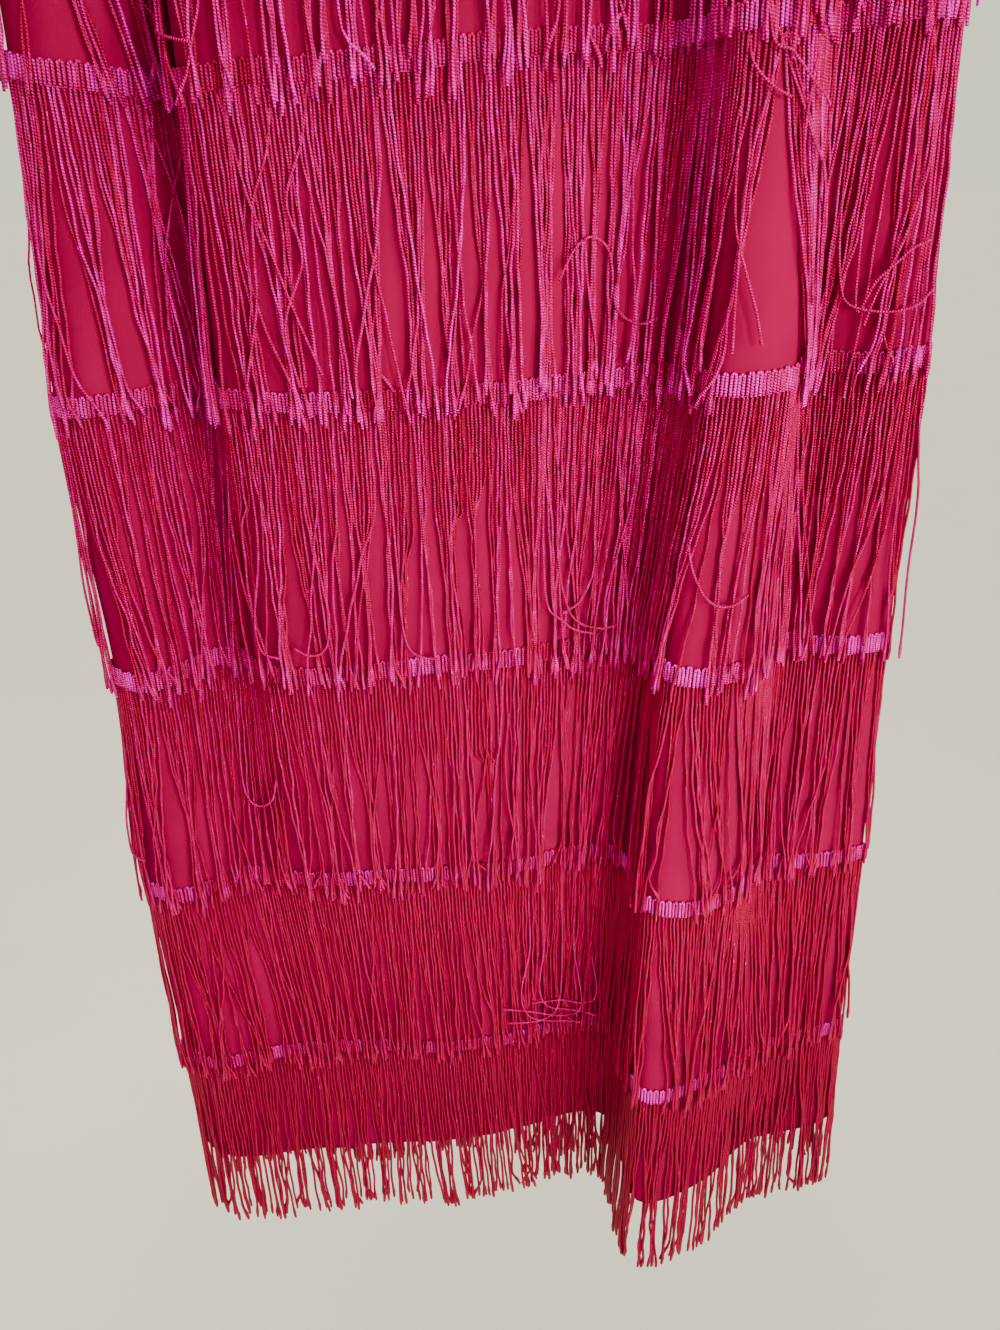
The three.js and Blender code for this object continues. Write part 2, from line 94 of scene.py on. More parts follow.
# The camera, fitted to the photograph's bands and side edges. The sensor spans the longer side.
IMAGE_HEIGHT = 1330
FOCAL_PIXELS = 1000
SENSOR_MM = 36
CAMERA_AT = (-8.5, -495.5, 631.1)
CAMERA_YAW, CAMERA_PITCH, CAMERA_ROLL = 0.6, 26.74, -1.75
NEAREST_SEEN = 0.01


def make_camera():
    yaw, pitch, roll = (math.radians(a) for a in (CAMERA_YAW, CAMERA_PITCH, CAMERA_ROLL))
    ahead = np.array([math.sin(yaw) * math.cos(pitch), math.cos(yaw) * math.cos(pitch), -math.sin(pitch)])
    level = np.array([math.cos(yaw), -math.sin(yaw), 0])
    up = np.cross(level, ahead)
    right = level * math.cos(roll) + up * math.sin(roll)
    top = up * math.cos(roll) - level * math.sin(roll)
    data = bpy.data.cameras.new("camera")
    data.sensor_width = SENSOR_MM
    data.lens = SENSOR_MM * FOCAL_PIXELS / IMAGE_HEIGHT
    data.clip_start = NEAREST_SEEN
    camera = bpy.data.objects.new("camera", data)
    turn = Matrix([list(axis) for axis in zip(right, top, -ahead)]).to_4x4()
    camera.matrix_world = Matrix.Translation(to_frame(CAMERA_AT)) @ turn
    bpy.context.collection.objects.link(camera)
    bpy.context.scene.camera = camera


# The dress's form: one row for each section, up from the hem
SECTION_COLUMNS = ("h", "left", "right", "seam", "left_out", "groove_x", "groove_in", "ridge_x",
                   "ridge_out", "trough_x", "trough_in", "fold_x", "fold_wide", "fold_out",
                   "crease_x", "crease_in", "right_out", "back", "rise_left", "rise_right")
SECTIONS = np.array([
    (0, 228, 229, 8, -9, -152, -6, -112, -4, 62, 14, 100, 44, -56, 166, -12, -5, 28, 0, 0),
    (95, 228, 225, 8, -9, -150, 0, -112, 0, 62, 14, 102, 44, -48, 164, -14, -5, 29, 0, 0),
    (240, 227, 221, 9, -12, -160, 8, -121, -1, 65, 13, 105, 46, -37, 154, -2, 0, 31, 0, 0),
    (385, 218, 216, 10, -15, -156, 20, -124, -5, 72, 16, 108, 38, -27, 157, 12, 4, 35, 0, 0),
    (530, 221, 215, 14, 0, -150, 30, -125, 0, 82, 26, 121, 33, -19, 155, 18, 6, 42, 0, 8),
    (675, 209, 207, 17, 7, -147, 34, -124, -2, 90, 26, 120, 27, -14, 152, 18, 7, 45, -10, 13),
    (830, 203, 202, 18, 8, -145, 20, -122, -1, 88, 13, 118, 28, -6, 150, 12, 8, 41, -4, 6),
], float)
# The back's shallow ripples: where across, and how far out at the hem and under the arms
BACK_RIPPLES = ((0.82, 0, -2), (0.5, 5, 3), (0.16, -4, -2), (-0.2, 6, 3), (-0.52, -3, 5), (-0.82, 2, -2))
LEFT_BULGE, RIGHT_BULGE = 22, 24
CENTRE_X = -20
FOLD_RIGHT_SHARE = 0.8
FRONT_KEYS = 10
RING_KEYS = FRONT_KEYS + 1 + len(BACK_RIPPLES)


def sections_at(h):
    """Every column at heights h, on smooth curves through the sections."""
    top = len(SECTIONS) - 1
    h = np.clip(np.asarray(h, float), SECTIONS[0, 0], SECTIONS[top, 0])
    i = np.clip(np.searchsorted(SECTIONS[:, 0], h, side="left") - 1, 0, top - 1)
    rows = [SECTIONS[np.clip(i + k, 0, top)] for k in (-1, 0, 1, 2)]
    span = rows[2][..., :1] - rows[1][..., :1]
    t = (h[..., None] - rows[1][..., :1]) / span
    slope_in = (rows[2] - rows[0]) / np.maximum(rows[2][..., :1] - rows[0][..., :1], 1) * span
    slope_out = (rows[3] - rows[1]) / np.maximum(rows[3][..., :1] - rows[1][..., :1], 1) * span
    values = ((2 * t**3 - 3 * t**2 + 1) * rows[1] + (t**3 - 2 * t**2 + t) * slope_in
              + (3 * t**2 - 2 * t**3) * rows[2] + (t**3 - t**2) * slope_out)
    return {name: values[..., k] for k, name in enumerate(SECTION_COLUMNS)}


def ring_keys(h):
    """The points that the dress's ring runs through at heights h."""
    s = sections_at(h)
    zero = np.zeros_like(s["h"])
    front = [
        (-s["left"], s["seam"]), (-s["left"] + LEFT_BULGE, s["left_out"]), (s["groove_x"], s["groove_in"]),
        (s["ridge_x"], s["ridge_out"]), (zero + CENTRE_X, zero), (s["trough_x"], s["trough_in"]),
        (s["fold_x"] - s["fold_wide"] / 2, s["fold_out"]),
        (s["fold_x"] + s["fold_wide"] / 2, s["fold_out"] * FOLD_RIGHT_SHARE),
        (s["crease_x"], s["crease_in"]), (s["right"] - RIGHT_BULGE, s["right_out"]), (s["right"], s["seam"]),
    ]
    under_arm = np.asarray(h, float) / UNDERARM_HEIGHT
    back = [(across * (s["right"] if across > 0 else s["left"]),
             s["back"] + at_hem + (at_arm - at_hem) * under_arm) for across, at_hem, at_arm in BACK_RIPPLES]
    points = []
    for x, y in front + back:
        rise = np.where(x > 0, s["rise_right"] * x / s["right"],
                        s["rise_left"] * np.sin(np.pi * -x / s["left"]))
        points.append(np.stack([x, y, np.asarray(h, float) + rise], -1))
    return np.stack(points, -2)


# A centripetal curve's knots lie apart by this power of the distance
KNOT_POWER = 0.5
LEAST_KNOT_GAP = 1e-4
LEAST_LENGTH = 1e-9


def ring_point(h, key):
    """Points of the ring at heights h and keys (arrays of one shape)."""
    h, key = np.broadcast_arrays(np.asarray(h, float), np.asarray(key, float))
    points = ring_keys(h)
    whole = np.floor(key).astype(int)
    t = (key - whole)[..., None]
    p = [np.take_along_axis(points, ((whole + k) % RING_KEYS)[..., None, None], -2)[..., 0, :]
         for k in (-1, 0, 1, 2)]
    distances = [np.linalg.norm(p[k + 1] - p[k], axis=-1, keepdims=True) for k in range(3)]
    gap = [np.maximum(distance ** KNOT_POWER, LEAST_KNOT_GAP) for distance in distances]
    slope_in = ((p[1] - p[0]) / gap[0] - (p[2] - p[0]) / (gap[0] + gap[1]) + (p[2] - p[1]) / gap[1]) * gap[1]
    slope_out = ((p[2] - p[1]) / gap[1] - (p[3] - p[1]) / (gap[1] + gap[2]) + (p[3] - p[2]) / gap[2]) * gap[1]
    return ((2 * t**3 - 3 * t**2 + 1) * p[1] + (t**3 - 2 * t**2 + t) * slope_in
            + (3 * t**2 - 2 * t**3) * p[2] + (t**3 - t**2) * slope_out)


# Soft creases of the cloth itself: where (key), middle height, half height, half width in keys,
# and depth (mm, out of the dress)
CREASES = (
    (1.6, 560, 190, 0.30, -1.6), (3.4, 640, 160, 0.22, -1.4), (4.3, 420, 210, 0.16, 1.3),
    (4.6, 180, 150, 0.14, -1.5), (3.6, 60, 110, 0.18, 1.8), (4.15, 40, 70, 0.10, -1.8),
    (2.6, 30, 90, 0.22, 1.6), (8.5, 300, 200, 0.25, 1.4), (8.8, 80, 110, 0.22, -2.0),
    (6.5, 420, 230, 0.22, 1.2), (5.4, 700, 120, 0.2, 1.2), (11.4, 500, 260, 0.35, 2.0),
    (12.8, 250, 220, 0.4, -2.2), (14.3, 520, 260, 0.4, 2.2), (15.6, 260, 230, 0.4, -1.8),
    (13.5, 60, 90, 0.3, 2.0), (0.4, 300, 220, 0.2, 1.0), (9.6, 460, 200, 0.2, -1.0),
    (2.05, 600, 200, 0.22, -3.5), (2.75, 600, 200, 0.2, 2.5),
)


def crease_depth(h, key):
    depth = np.zeros(np.broadcast(h, key).shape)
    for at, middle, half_height, half_width, out in CREASES:
        depth += out * np.exp(-((key - at) / half_width) ** 2 - ((h - middle) / half_height) ** 2)
    return depth


def outward(h, key):
    """Level unit vectors pointing out of the dress."""
    step = 0.02
    along = ring_point(h, np.asarray(key) + step) - ring_point(h, np.asarray(key) - step)
    out = np.stack([along[..., 1], -along[..., 0], np.zeros_like(along[..., 0])], -1)
    return out / np.maximum(np.linalg.norm(out, axis=-1, keepdims=True), LEAST_LENGTH)


def dress_point(h, key, off=0.0):
    """A point on the cloth, or off it by that many millimetres; below the hem it hangs on down."""
    h = np.asarray(h, float)
    on_cloth = np.clip(h, 0, None)
    point = ring_point(on_cloth, key)
    point = point + outward(on_cloth, key) * (crease_depth(on_cloth, key) + off)[..., None]
    point[..., 2] += h - on_cloth
    return point


def arc_table(h, first_key, last_key, steps=1600):
    """Keys along a panel, and how far along the cloth each one lies at a height."""
    keys = np.linspace(first_key, last_key, steps)
    points = ring_point(np.full(steps, float(h)), keys)
    lengths = np.concatenate([[0], np.cumsum(np.linalg.norm(np.diff(points, axis=0), axis=1))])
    return keys, lengths


PANELS = {
    "front": {"side": 1, "keys": (0, FRONT_KEYS), "neck": FRONT_NECK_HEIGHT, "yoke_y": YOKE_Y},
    "back": {"side": -1, "keys": (FRONT_KEYS, RING_KEYS), "neck": BACK_NECK_HEIGHT, "yoke_y": BACK_YOKE_Y},
}


# Meshes
def make_object(name, vertices, faces, uvs=None, tones=None):
    mesh = bpy.data.meshes.new(name)
    mesh.from_pydata(vertices.tolist(), [], faces)
    if uvs is not None:
        layer = mesh.uv_layers.new(name="UVMap")
        layer.data.foreach_set("uv", np.asarray(uvs, np.float32).ravel())
    if tones is not None:
        layer = mesh.attributes.new("tone", "FLOAT", "POINT")
        layer.data.foreach_set("value", np.asarray(tones, np.float32))
    mesh.shade_smooth()
    mesh.update()
    piece = bpy.data.objects.new(name, mesh)
    bpy.context.collection.objects.link(piece)
    return piece


def tubes(paths, outs, radii, tones, sides):
    """Closed round tubes along many paths at once. paths and outs are N x M x 3 in millimetres,
    radii and tones N x M. U runs once round a tube, and V along it in millimetres."""
    count, steps, _ = paths.shape
    along = np.gradient(paths, axis=1)
    along /= np.maximum(np.linalg.norm(along, axis=2, keepdims=True), LEAST_LENGTH)
    across = np.cross(along, outs)
    across /= np.maximum(np.linalg.norm(across, axis=2, keepdims=True), LEAST_LENGTH)
    lift = np.cross(across, along)
    angle = np.arange(sides) * 2 * math.pi / sides
    ring = (across[:, :, None] * np.cos(angle)[None, None, :, None]
            + lift[:, :, None] * np.sin(angle)[None, None, :, None])
    vertices = paths[:, :, None] + ring * radii[:, :, None, None]
    index = np.arange(count * steps * sides).reshape(count, steps, sides)
    turned = np.roll(index, -1, axis=2)
    quads = np.stack([index[:, :-1], index[:, 1:], turned[:, 1:], turned[:, :-1]], -1)
    run = np.concatenate([np.zeros((count, 1)),
                          np.cumsum(np.linalg.norm(np.diff(paths, axis=1), axis=2), axis=1)], axis=1)
    v = np.broadcast_to(run[:, :, None], index.shape)
    u = np.broadcast_to(np.arange(sides) / sides, index.shape)
    quad_v = np.stack([v[:, :-1], v[:, 1:], v[:, 1:], v[:, :-1]], -1)
    quad_u = np.stack([u[:, :-1], u[:, :-1], u[:, :-1] + 1 / sides, u[:, :-1] + 1 / sides], -1)
    uvs = np.stack([quad_u, quad_v], -1).reshape(-1, 2)
    caps = np.concatenate([index[:, 0], index[:, -1, ::-1]])
    cap_uvs = np.zeros((caps.size, 2))
    faces = quads.reshape(-1, 4).tolist() + caps.tolist()
    return (vertices.reshape(-1, 3), faces, np.concatenate([uvs, cap_uvs]),
            np.repeat(tones.ravel(), sides))


def joined(parts):
    """Several sets of vertices, faces, uvs and tones as one."""
    vertices, faces, uvs, tones = [], [], [], []
    start = 0
    for part in parts:
        vertices.append(part[0])
        faces += [[i + start for i in face] for face in part[1]]
        uvs.append(part[2])
        tones.append(part[3])
        start += len(part[0])
    return np.concatenate(vertices), faces, np.concatenate(uvs), np.concatenate(tones)


# The cloth panels
PANEL_COLUMNS = 120
HEM_ROWS, YOKE_ROWS, STRAP_ROWS, BAR_ROWS = 150, 12, 14, 6
HALF_TAPE = 5
TOP_RING = LOWEST_BAND + (TIER_COUNT - 1) * TIER_PITCH + HALF_TAPE
REFERENCE_HEIGHT = 240


def bar_centre_at(x):
    return BAR_CENTRE - BAR_SLOPE * np.maximum(np.abs(x) - BAR_FLAT_HALF, 0)


def panel_layout(panel):
    """Where each column of a panel lies on the ring, and where it ends at the yoke."""
    side = panel["side"]
    keys, lengths = arc_table(REFERENCE_HEIGHT, *panel["keys"])
    places = np.linspace(SEAM_GAP / 2, lengths[-1] - SEAM_GAP / 2, PANEL_COLUMNS + 1)
    keys = np.interp(places, lengths, keys)
    last = len(keys) - 1
    top = dress_point(np.full(len(keys), float(TOP_RING)), keys)
    straps = []
    for sign in (-side, side):
        edges = sorted(int(np.argmin(np.abs(top[:, 0] - sign * x))) for x in (STRAP_OUTER_X, STRAP_INNER_X))
        straps.append((sign, edges[0], edges[1]))
    yoke = np.zeros((len(keys), 3))
    (first_sign, first_from, first_to), (_, second_from, second_to) = straps
    for c in range(len(keys)):
        sign, start, end = straps[0] if c <= last / 2 else straps[1]
        first = c <= last / 2
        if first_to < c < second_from:
            across = (c - first_to) / (second_from - first_to)
            dip = math.sin(math.pi * across) ** NECK_ROUNDNESS
            yoke[c] = (first_sign * STRAP_INNER_X * math.cos(math.pi * across), panel["yoke_y"],
                       NECK_CORNER + (panel["neck"] - NECK_CORNER) * dip)
        elif start <= c <= end:
            t = (c - start) / (end - start)
            inwards = t if first else 1 - t
            yoke[c] = (sign * (STRAP_OUTER_X + (STRAP_INNER_X - STRAP_OUTER_X) * inwards), panel["yoke_y"],
                       STRAP_FOOT + (NECK_CORNER - STRAP_FOOT) * inwards)
        else:
            edge, seam = (first_from, 0) if first else (second_to, last)
            quarter = (c - seam) / (edge - seam) * math.pi / 2
            x = top[seam, 0] + (sign * STRAP_OUTER_X - top[seam, 0]) * math.sin(quarter)
            y = top[seam, 1] + (panel["yoke_y"] - top[seam, 1]) * math.sqrt(math.sin(quarter))
            yoke[c] = (x, y, STRAP_FOOT + (UNDERARM_HEIGHT - STRAP_FOOT) * math.cos(quarter))
    return keys, top, yoke, straps


def panel_surface(panel):
    """The cloth's outer face as a lattice of rows and columns, and which cells it has."""
    keys, top, yoke, straps = panel_layout(panel)
    side = panel["side"]
    columns = len(keys)
    heights = np.linspace(0, TOP_RING, HEM_ROWS + 1)
    rows = [dress_point(np.full(columns, h), keys) for h in heights]
    slope = (rows[-1] - rows[-2]) / (heights[-1] - heights[-2])
    for t in np.linspace(0, 1, YOKE_ROWS + 1)[1:]:
        straight = top + (yoke - top) * t
        lead = slope * (yoke[:, 2:] - top[:, 2:]) * t * (1 - t) ** 2
        lead[:, 2] = 0
        rows.append(straight + lead)
    centre = bar_centre_at(yoke[:, 0])
    depth = BAR_HALF_DEPTH + STRAP_ON_BAR_GAP + CLOTH
    rise = BAR_HALF_HEIGHT + STRAP_ON_BAR_GAP + CLOTH
    for t in np.linspace(0, 1, STRAP_ROWS + 1)[1:]:
        y = yoke[:, 1] + (HANGER_Y - side * depth - yoke[:, 1]) * t**2
        rows.append(np.stack([yoke[:, 0], y, yoke[:, 2] + (centre - yoke[:, 2]) * t], -1))
    for t in np.linspace(0, 1, BAR_ROWS + 1)[1:]:
        angle = t * (math.pi / 2 - math.asin(SEAM_GAP / 2 / depth))
        rows.append(np.stack([yoke[:, 0], np.full(columns, HANGER_Y - side * depth * math.cos(angle)),
                              centre + rise * math.sin(angle)], -1))
    rows = np.stack(rows)
    has_cell = np.zeros((len(rows) - 1, columns - 1), bool)
    has_cell[:HEM_ROWS + YOKE_ROWS] = True
    for _, start, end in straps:
        has_cell[HEM_ROWS + YOKE_ROWS:, start:end] = True
    return rows, has_cell


def lattice_normals(points):
    normals = np.cross(np.gradient(points, axis=1), np.gradient(points, axis=0))
    return normals / np.maximum(np.linalg.norm(normals, axis=2, keepdims=True), LEAST_LENGTH)


def make_panel(name):
    """A thin shell: outer and inner faces over the panel's cells, closed along every edge. Gives
    the piece and its cut area in square metres."""
    outer, has_cell = panel_surface(PANELS[name])
    normals = lattice_normals(outer)
    for edge, sign in ((0, -PANELS[name]["side"]), (-1, PANELS[name]["side"])):
        normals[:HEM_ROWS, edge] = (sign, 0, 0)
    inner = outer - normals * CLOTH
    rows, columns, _ = outer.shape
    index = np.arange(rows * columns).reshape(rows, columns)
    back = index + rows * columns
    faces, uvs = [], []
    width, height = PANEL_COLUMNS, rows

    def is_cell(r, c):
        return 0 <= r < rows - 1 and 0 <= c < columns - 1 and has_cell[r, c]

    for r, c in zip(*np.nonzero(has_cell)):
        o = [index[r, c], index[r, c + 1], index[r + 1, c + 1], index[r + 1, c]]
        i = [back[r, c], back[r, c + 1], back[r + 1, c + 1], back[r + 1, c]]
        uv = [(c / width, r / height), ((c + 1) / width, r / height),
              ((c + 1) / width, (r + 1) / height), (c / width, (r + 1) / height)]
        faces += [o, i[::-1]]
        uvs += uv + uv[::-1]
        for a, b, joins in ((0, 1, is_cell(r - 1, c)), (1, 2, is_cell(r, c + 1)),
                            (2, 3, is_cell(r + 1, c)), (3, 0, is_cell(r, c - 1))):
            if not joins:
                faces.append([o[b], o[a], i[a], i[b]])
                uvs += [uv[b], uv[a], uv[a], uv[b]]
    vertices = np.concatenate([outer.reshape(-1, 3), inner.reshape(-1, 3)])
    used = np.unique(np.array([v for face in faces for v in face]))
    renumber = np.full(len(vertices), -1)
    renumber[used] = np.arange(len(used))
    faces = [[int(renumber[v]) for v in face] for face in faces]
    area = 0.0
    for r, c in zip(*np.nonzero(has_cell)):
        a, b, d = outer[r, c], outer[r, c + 1], outer[r + 1, c]
        area += np.linalg.norm(np.cross(b - a, d - a))
    piece = make_object(f"{name}_cloth", to_frame(vertices[used]), faces, uvs)
    return piece, area * MM * MM


# The fringe. Strands hang from a header of chain stitch. As they fall they draw together in
# clumps, cross each other, and leave tall gaps that show the cloth.
STRAND_PITCH = 2.05
STRAND_RADIUS = 0.69
STRAND_DROP = 150
STRAND_MARGIN = 1.2
HIDDEN_ROOT = 0.6
HEADER_TOP, HEADER_BOTTOM = 5.6, -5.4
LOOP_PITCH = 3.7
LOOP_RADIUS = 0.86
LOOP_HALF = 0.93
LOOP_MARGIN = 0.8

# How far off the cloth a header lies, a strand that falls over the next header, and a stray;
# and how much further the outermost layer of strands and the crossing ones stand
HEADER_OFF = 1.2
OVER_HEADER_OFF = 3.3
STRAY_OFF = 6.2
LAYERS_DEEP = 2.6
CROSSING_OFF = 1.6

# The knots at the feet of strands and strays are this much thicker than the cord
STRAND_KNOT = 1.4
STRAY_KNOT = 1.3

# A painted highlight at a strand's foot: how much its tone rises there, as a share of its tier's palest tone
END_PAINTED_HIGHLIGHT = 0.25

# By tier: the tones of the darkest and palest strands, which grow darker down the dress as painted shade, how
# little the strands draw together, how many cross the others, and how thick they are
TIER_TONES = ((0.3, 0.78), (0.3, 0.76), (0.23, 0.6), (0.2, 0.44), (0.18, 0.29), (0.11, 0.19))
TIER_EVENNESS = (0, 0, 0, 0.1, 0.3, 0.45)
CROSSING_SHARE = (0.2, 0.22, 0.2, 0.16, 0.1, 0.08)
TIER_RADIUS = (1.06, 1.06, 1.03, 1.06, 1.2, 1.3)

# Where little hangs over a header it is painted paler, as light that the strands don't shade: its
# tone, and key, half width and tone of those places
HEADER_TONE = 0.52
HEADER_PAINTED_LIGHT = ((0.5, 0.6, 0.32), (6.25, 0.55, 0.35), (9.5, 0.6, 0.35), (13.5, 2.0, 0.25))

# Where the front's strands lean to one side: tier, where (key), half width in keys, mm at the foot
LEANS = (
    (1, 1.3, 0.7, 14), (1, 9.0, 0.6, -8), (2, 1.15, 0.8, 17), (2, 9.05, 0.75, -14), (2, 3.1, 0.5, 5),
    (3, 1.0, 0.8, 9), (3, 9.0, 0.7, -8), (3, 3.6, 0.6, -5), (4, 0.9, 0.8, 6), (4, 8.7, 0.6, -8),
    (5, 1.2, 0.7, 4), (5, 8.6, 0.6, -6),
)

# Bare patches of the front: tier, where along the front (key), how wide at the
# foot (mm), where it opens (share of the fall), and whether it closes again at the foot
BARE_PATCHES = (
    (1, 0.75, 26, 0.35, 0.0),
    (2, 6.5, 34, 0.06, 0.0), (2, 2.9, 7, 0.25, 0.0), (2, 3.55, 9, 0.12, 0.0), (2, 1.2, 9, 0.2, 0.0),
    (2, 8.9, 14, 0.1, 0.0), (3, 6.2, 17, 0.2, 0.0), (3, 6.75, 12, 0.2, 0.3), (3, 8.9, 13, 0.18, 0.0),
    (3, 4.2, 12, 0.2, 0.0), (3, 3.8, 10, 0.45, 0.0), (3, 3.2, 11, 0.4, 0.0), (3, 1.4, 10, 0.3, 0.0),
    (4, 6.2, 21, 0.04, 0.0), (4, 4.5, 8, 0.3, 0.0), (4, 9.2, 9, 0.2, 0.0), (4, 7.5, 8, 0.3, 0.0),
    (5, 6.1, 20, 0.04, 0.0), (5, 3.6, 7, 0.35, 0.0), (5, 2.1, 6, 0.4, 0.0), (5, 8.8, 8, 0.3, 0.0),
)

# Stray strands of the front, lying free over the rest: tier, then (key, height) along each
STRAYS = (
    (3, (3.0, 454), (2.9, 422), (2.88, 406), (2.93, 398), (3.05, 396)),
    (3, (3.35, 440), (3.34, 410), (3.3, 400), (3.23, 398), (3.15, 402)),
    (3, (3.68, 448), (3.68, 414), (3.7, 399), (3.75, 393), (3.84, 390)),
    (3, (4.65, 450), (4.65, 430), (4.58, 414), (4.48, 408)),
    (3, (4.38, 440), (4.4, 414), (4.48, 404), (4.56, 397), (4.68, 393)),
    (3, (4.45, 445), (4.5, 414), (4.58, 401), (4.72, 396), (4.85, 397)),
    (3, (4.9, 470), (4.78, 430), (4.74, 410), (4.78, 380)),
    (2, (4.66, 560), (4.66, 576), (4.62, 590), (4.54, 596), (4.47, 591), (4.41, 578)),
    (2, (4.72, 590), (4.67, 568), (4.73, 558), (4.84, 554), (4.98, 556)),
    (4, (2.02, 340), (2.02, 305), (2.18, 293), (2.45, 292), (2.68, 300), (2.8, 315)),
    (3, (5.95, 455), (6.15, 436), (6.36, 427), (6.58, 426), (6.75, 430)),
    (2, (8.35, 590), (8.42, 566), (8.55, 557), (8.92, 554), (9.3, 556), (9.55, 562)),
    (2, (8.6, 556), (8.8, 568), (9.1, 579), (9.4, 583)),
    (2, (6.43, 669), (6.58, 658), (6.78, 643), (7.03, 624), (7.5, 604), (7.75, 580), (7.85, 556)),
    (2, (6.55, 669), (6.68, 657), (6.90, 638), (7.20, 616), (7.7, 596), (7.95, 572), (8.05, 548)),
    (2, (7.68, 669), (7.15, 660), (6.95, 648), (6.82, 636), (6.80, 620), (6.95, 600), (7.1, 562)),
    (2, (6.52, 667), (6.40, 654), (6.28, 640), (6.18, 626), (6.12, 606), (6.1, 575), (6.12, 545)),
    (2, (6.06, 668), (6.08, 661), (6.2, 654), (6.38, 648), (6.58, 644)),
    (2, (6.02, 668), (5.98, 626), (6.00, 608), (6.06, 594), (6.20, 578), (6.34, 562), (6.43, 548)),
    (2, (9.25, 669), (9.38, 640), (9.35, 618), (9.22, 603), (9.02, 584), (8.8, 562), (8.7, 548)),
    (2, (2.35, 669), (2.25, 655), (2.05, 640), (1.85, 622), (1.72, 598), (1.68, 562)),
    (2, (1.72, 669), (1.76, 655), (1.85, 638), (2.02, 616), (2.12, 590), (2.1, 556)),
    (2, (3.36, 669), (3.32, 646), (3.24, 624), (3.22, 600), (3.2, 576), (3.1, 540)),
    (2, (3.12, 669), (3.17, 648), (3.22, 626), (3.29, 604), (3.36, 576), (3.45, 544)),
    (2, (3.5, 669), (3.46, 648), (3.38, 624), (3.42, 598), (3.32, 568), (3.35, 538)),
    (1, (6.3, 672), (6.58, 660), (6.9, 649), (7.25, 640)),
    (1, (1.75, 712), (2.15, 699), (2.7, 693), (3.05, 688)),
    (3, (0.3, 455), (0.23, 428), (0.25, 411), (0.4, 404)),
    (4, (0.4, 310), (0.25, 280), (0.35, 267), (0.66, 266)),
    (5, (4.56, 165), (4.53, 120), (4.42, 109), (4.15, 113)),
    (5, (4.66, 160), (4.73, 114), (4.58, 106), (4.3, 120), (4.12, 127)),
    (5, (4.42, 170), (4.38, 138), (4.45, 119), (4.66, 109), (4.9, 103)),
    (5, (4.32, 172), (4.25, 138), (4.3, 116), (4.47, 105), (4.75, 96)),
    (5, (4.82, 158), (4.9, 124), (4.74, 115), (4.52, 122), (4.32, 127)),
)


def smooth_step(x, low, high):
    t = np.clip((x - low) / (high - low), 0, 1)
    return t * t * (3 - 2 * t)


def band_height(tier):
    return LOWEST_BAND + (TIER_COUNT - tier) * TIER_PITCH


def band_wave(tier, place):
    """How the header's line wanders up and down along the cloth."""
    return (1.1 * np.sin(place / 61 + tier * 2.1) + 0.7 * np.sin(place / 23 + tier * 1.3)
            + 0.35 * np.sin(place / 7.7 + tier))


# How unruly the strands are. In mm along the cloth: a strand at its root, its slow swing, how far
# a crossing one goes, a hooked end, and the middle of a clump. Ends lie unevenly by END_SPREAD.
PLACE_SPREAD = 0.2
SWING_SPREAD = 0.85
CROSSING_SPREAD = 9
HOOK_SPREAD = 3.4
CLUMP_SPREAD = 1.6
END_SPREAD = 2.2
THICKNESS_SPREAD = 0.07

# The shares of strands with a hooked end and with a short one, how many mm short that is, and how
# many strands a clump has (fewer than the second number)
HOOKED_SHARE = 0.2
SHORT_SHARE = 0.16
SHORT_BY = (2, 15)
CLUMP_SIZES = (2, 10)


def clumps(rng, places):
    """For each strand: its clump's middle; how much of its distance from there it keeps at the
    clump's waist and at its foot; where in the fall the clump draws in and has its waist; and how
    far its ends lie above the rest."""
    count = len(places)
    middle, waist_width, foot_width, opens, waist, lift = (np.zeros(count) for _ in range(6))
    start = 0
    while start < count:
        end = min(count, start + int(rng.integers(*CLUMP_SIZES)))
        members = slice(start, end)
        middle[members] = places[members].mean() + rng.normal(0, CLUMP_SPREAD)
        waist_width[members] = rng.uniform(0.05, 0.55)
        foot_width[members] = waist_width[members] + rng.uniform(-0.6, 0.5)
        opens[members] = rng.uniform(-0.1, 0.35)
        waist[members] = rng.uniform(0.4, 1.15)
        lift[members] = rng.normal(0, END_SPREAD)
        start = end
    return middle, waist_width, foot_width, opens, waist, lift


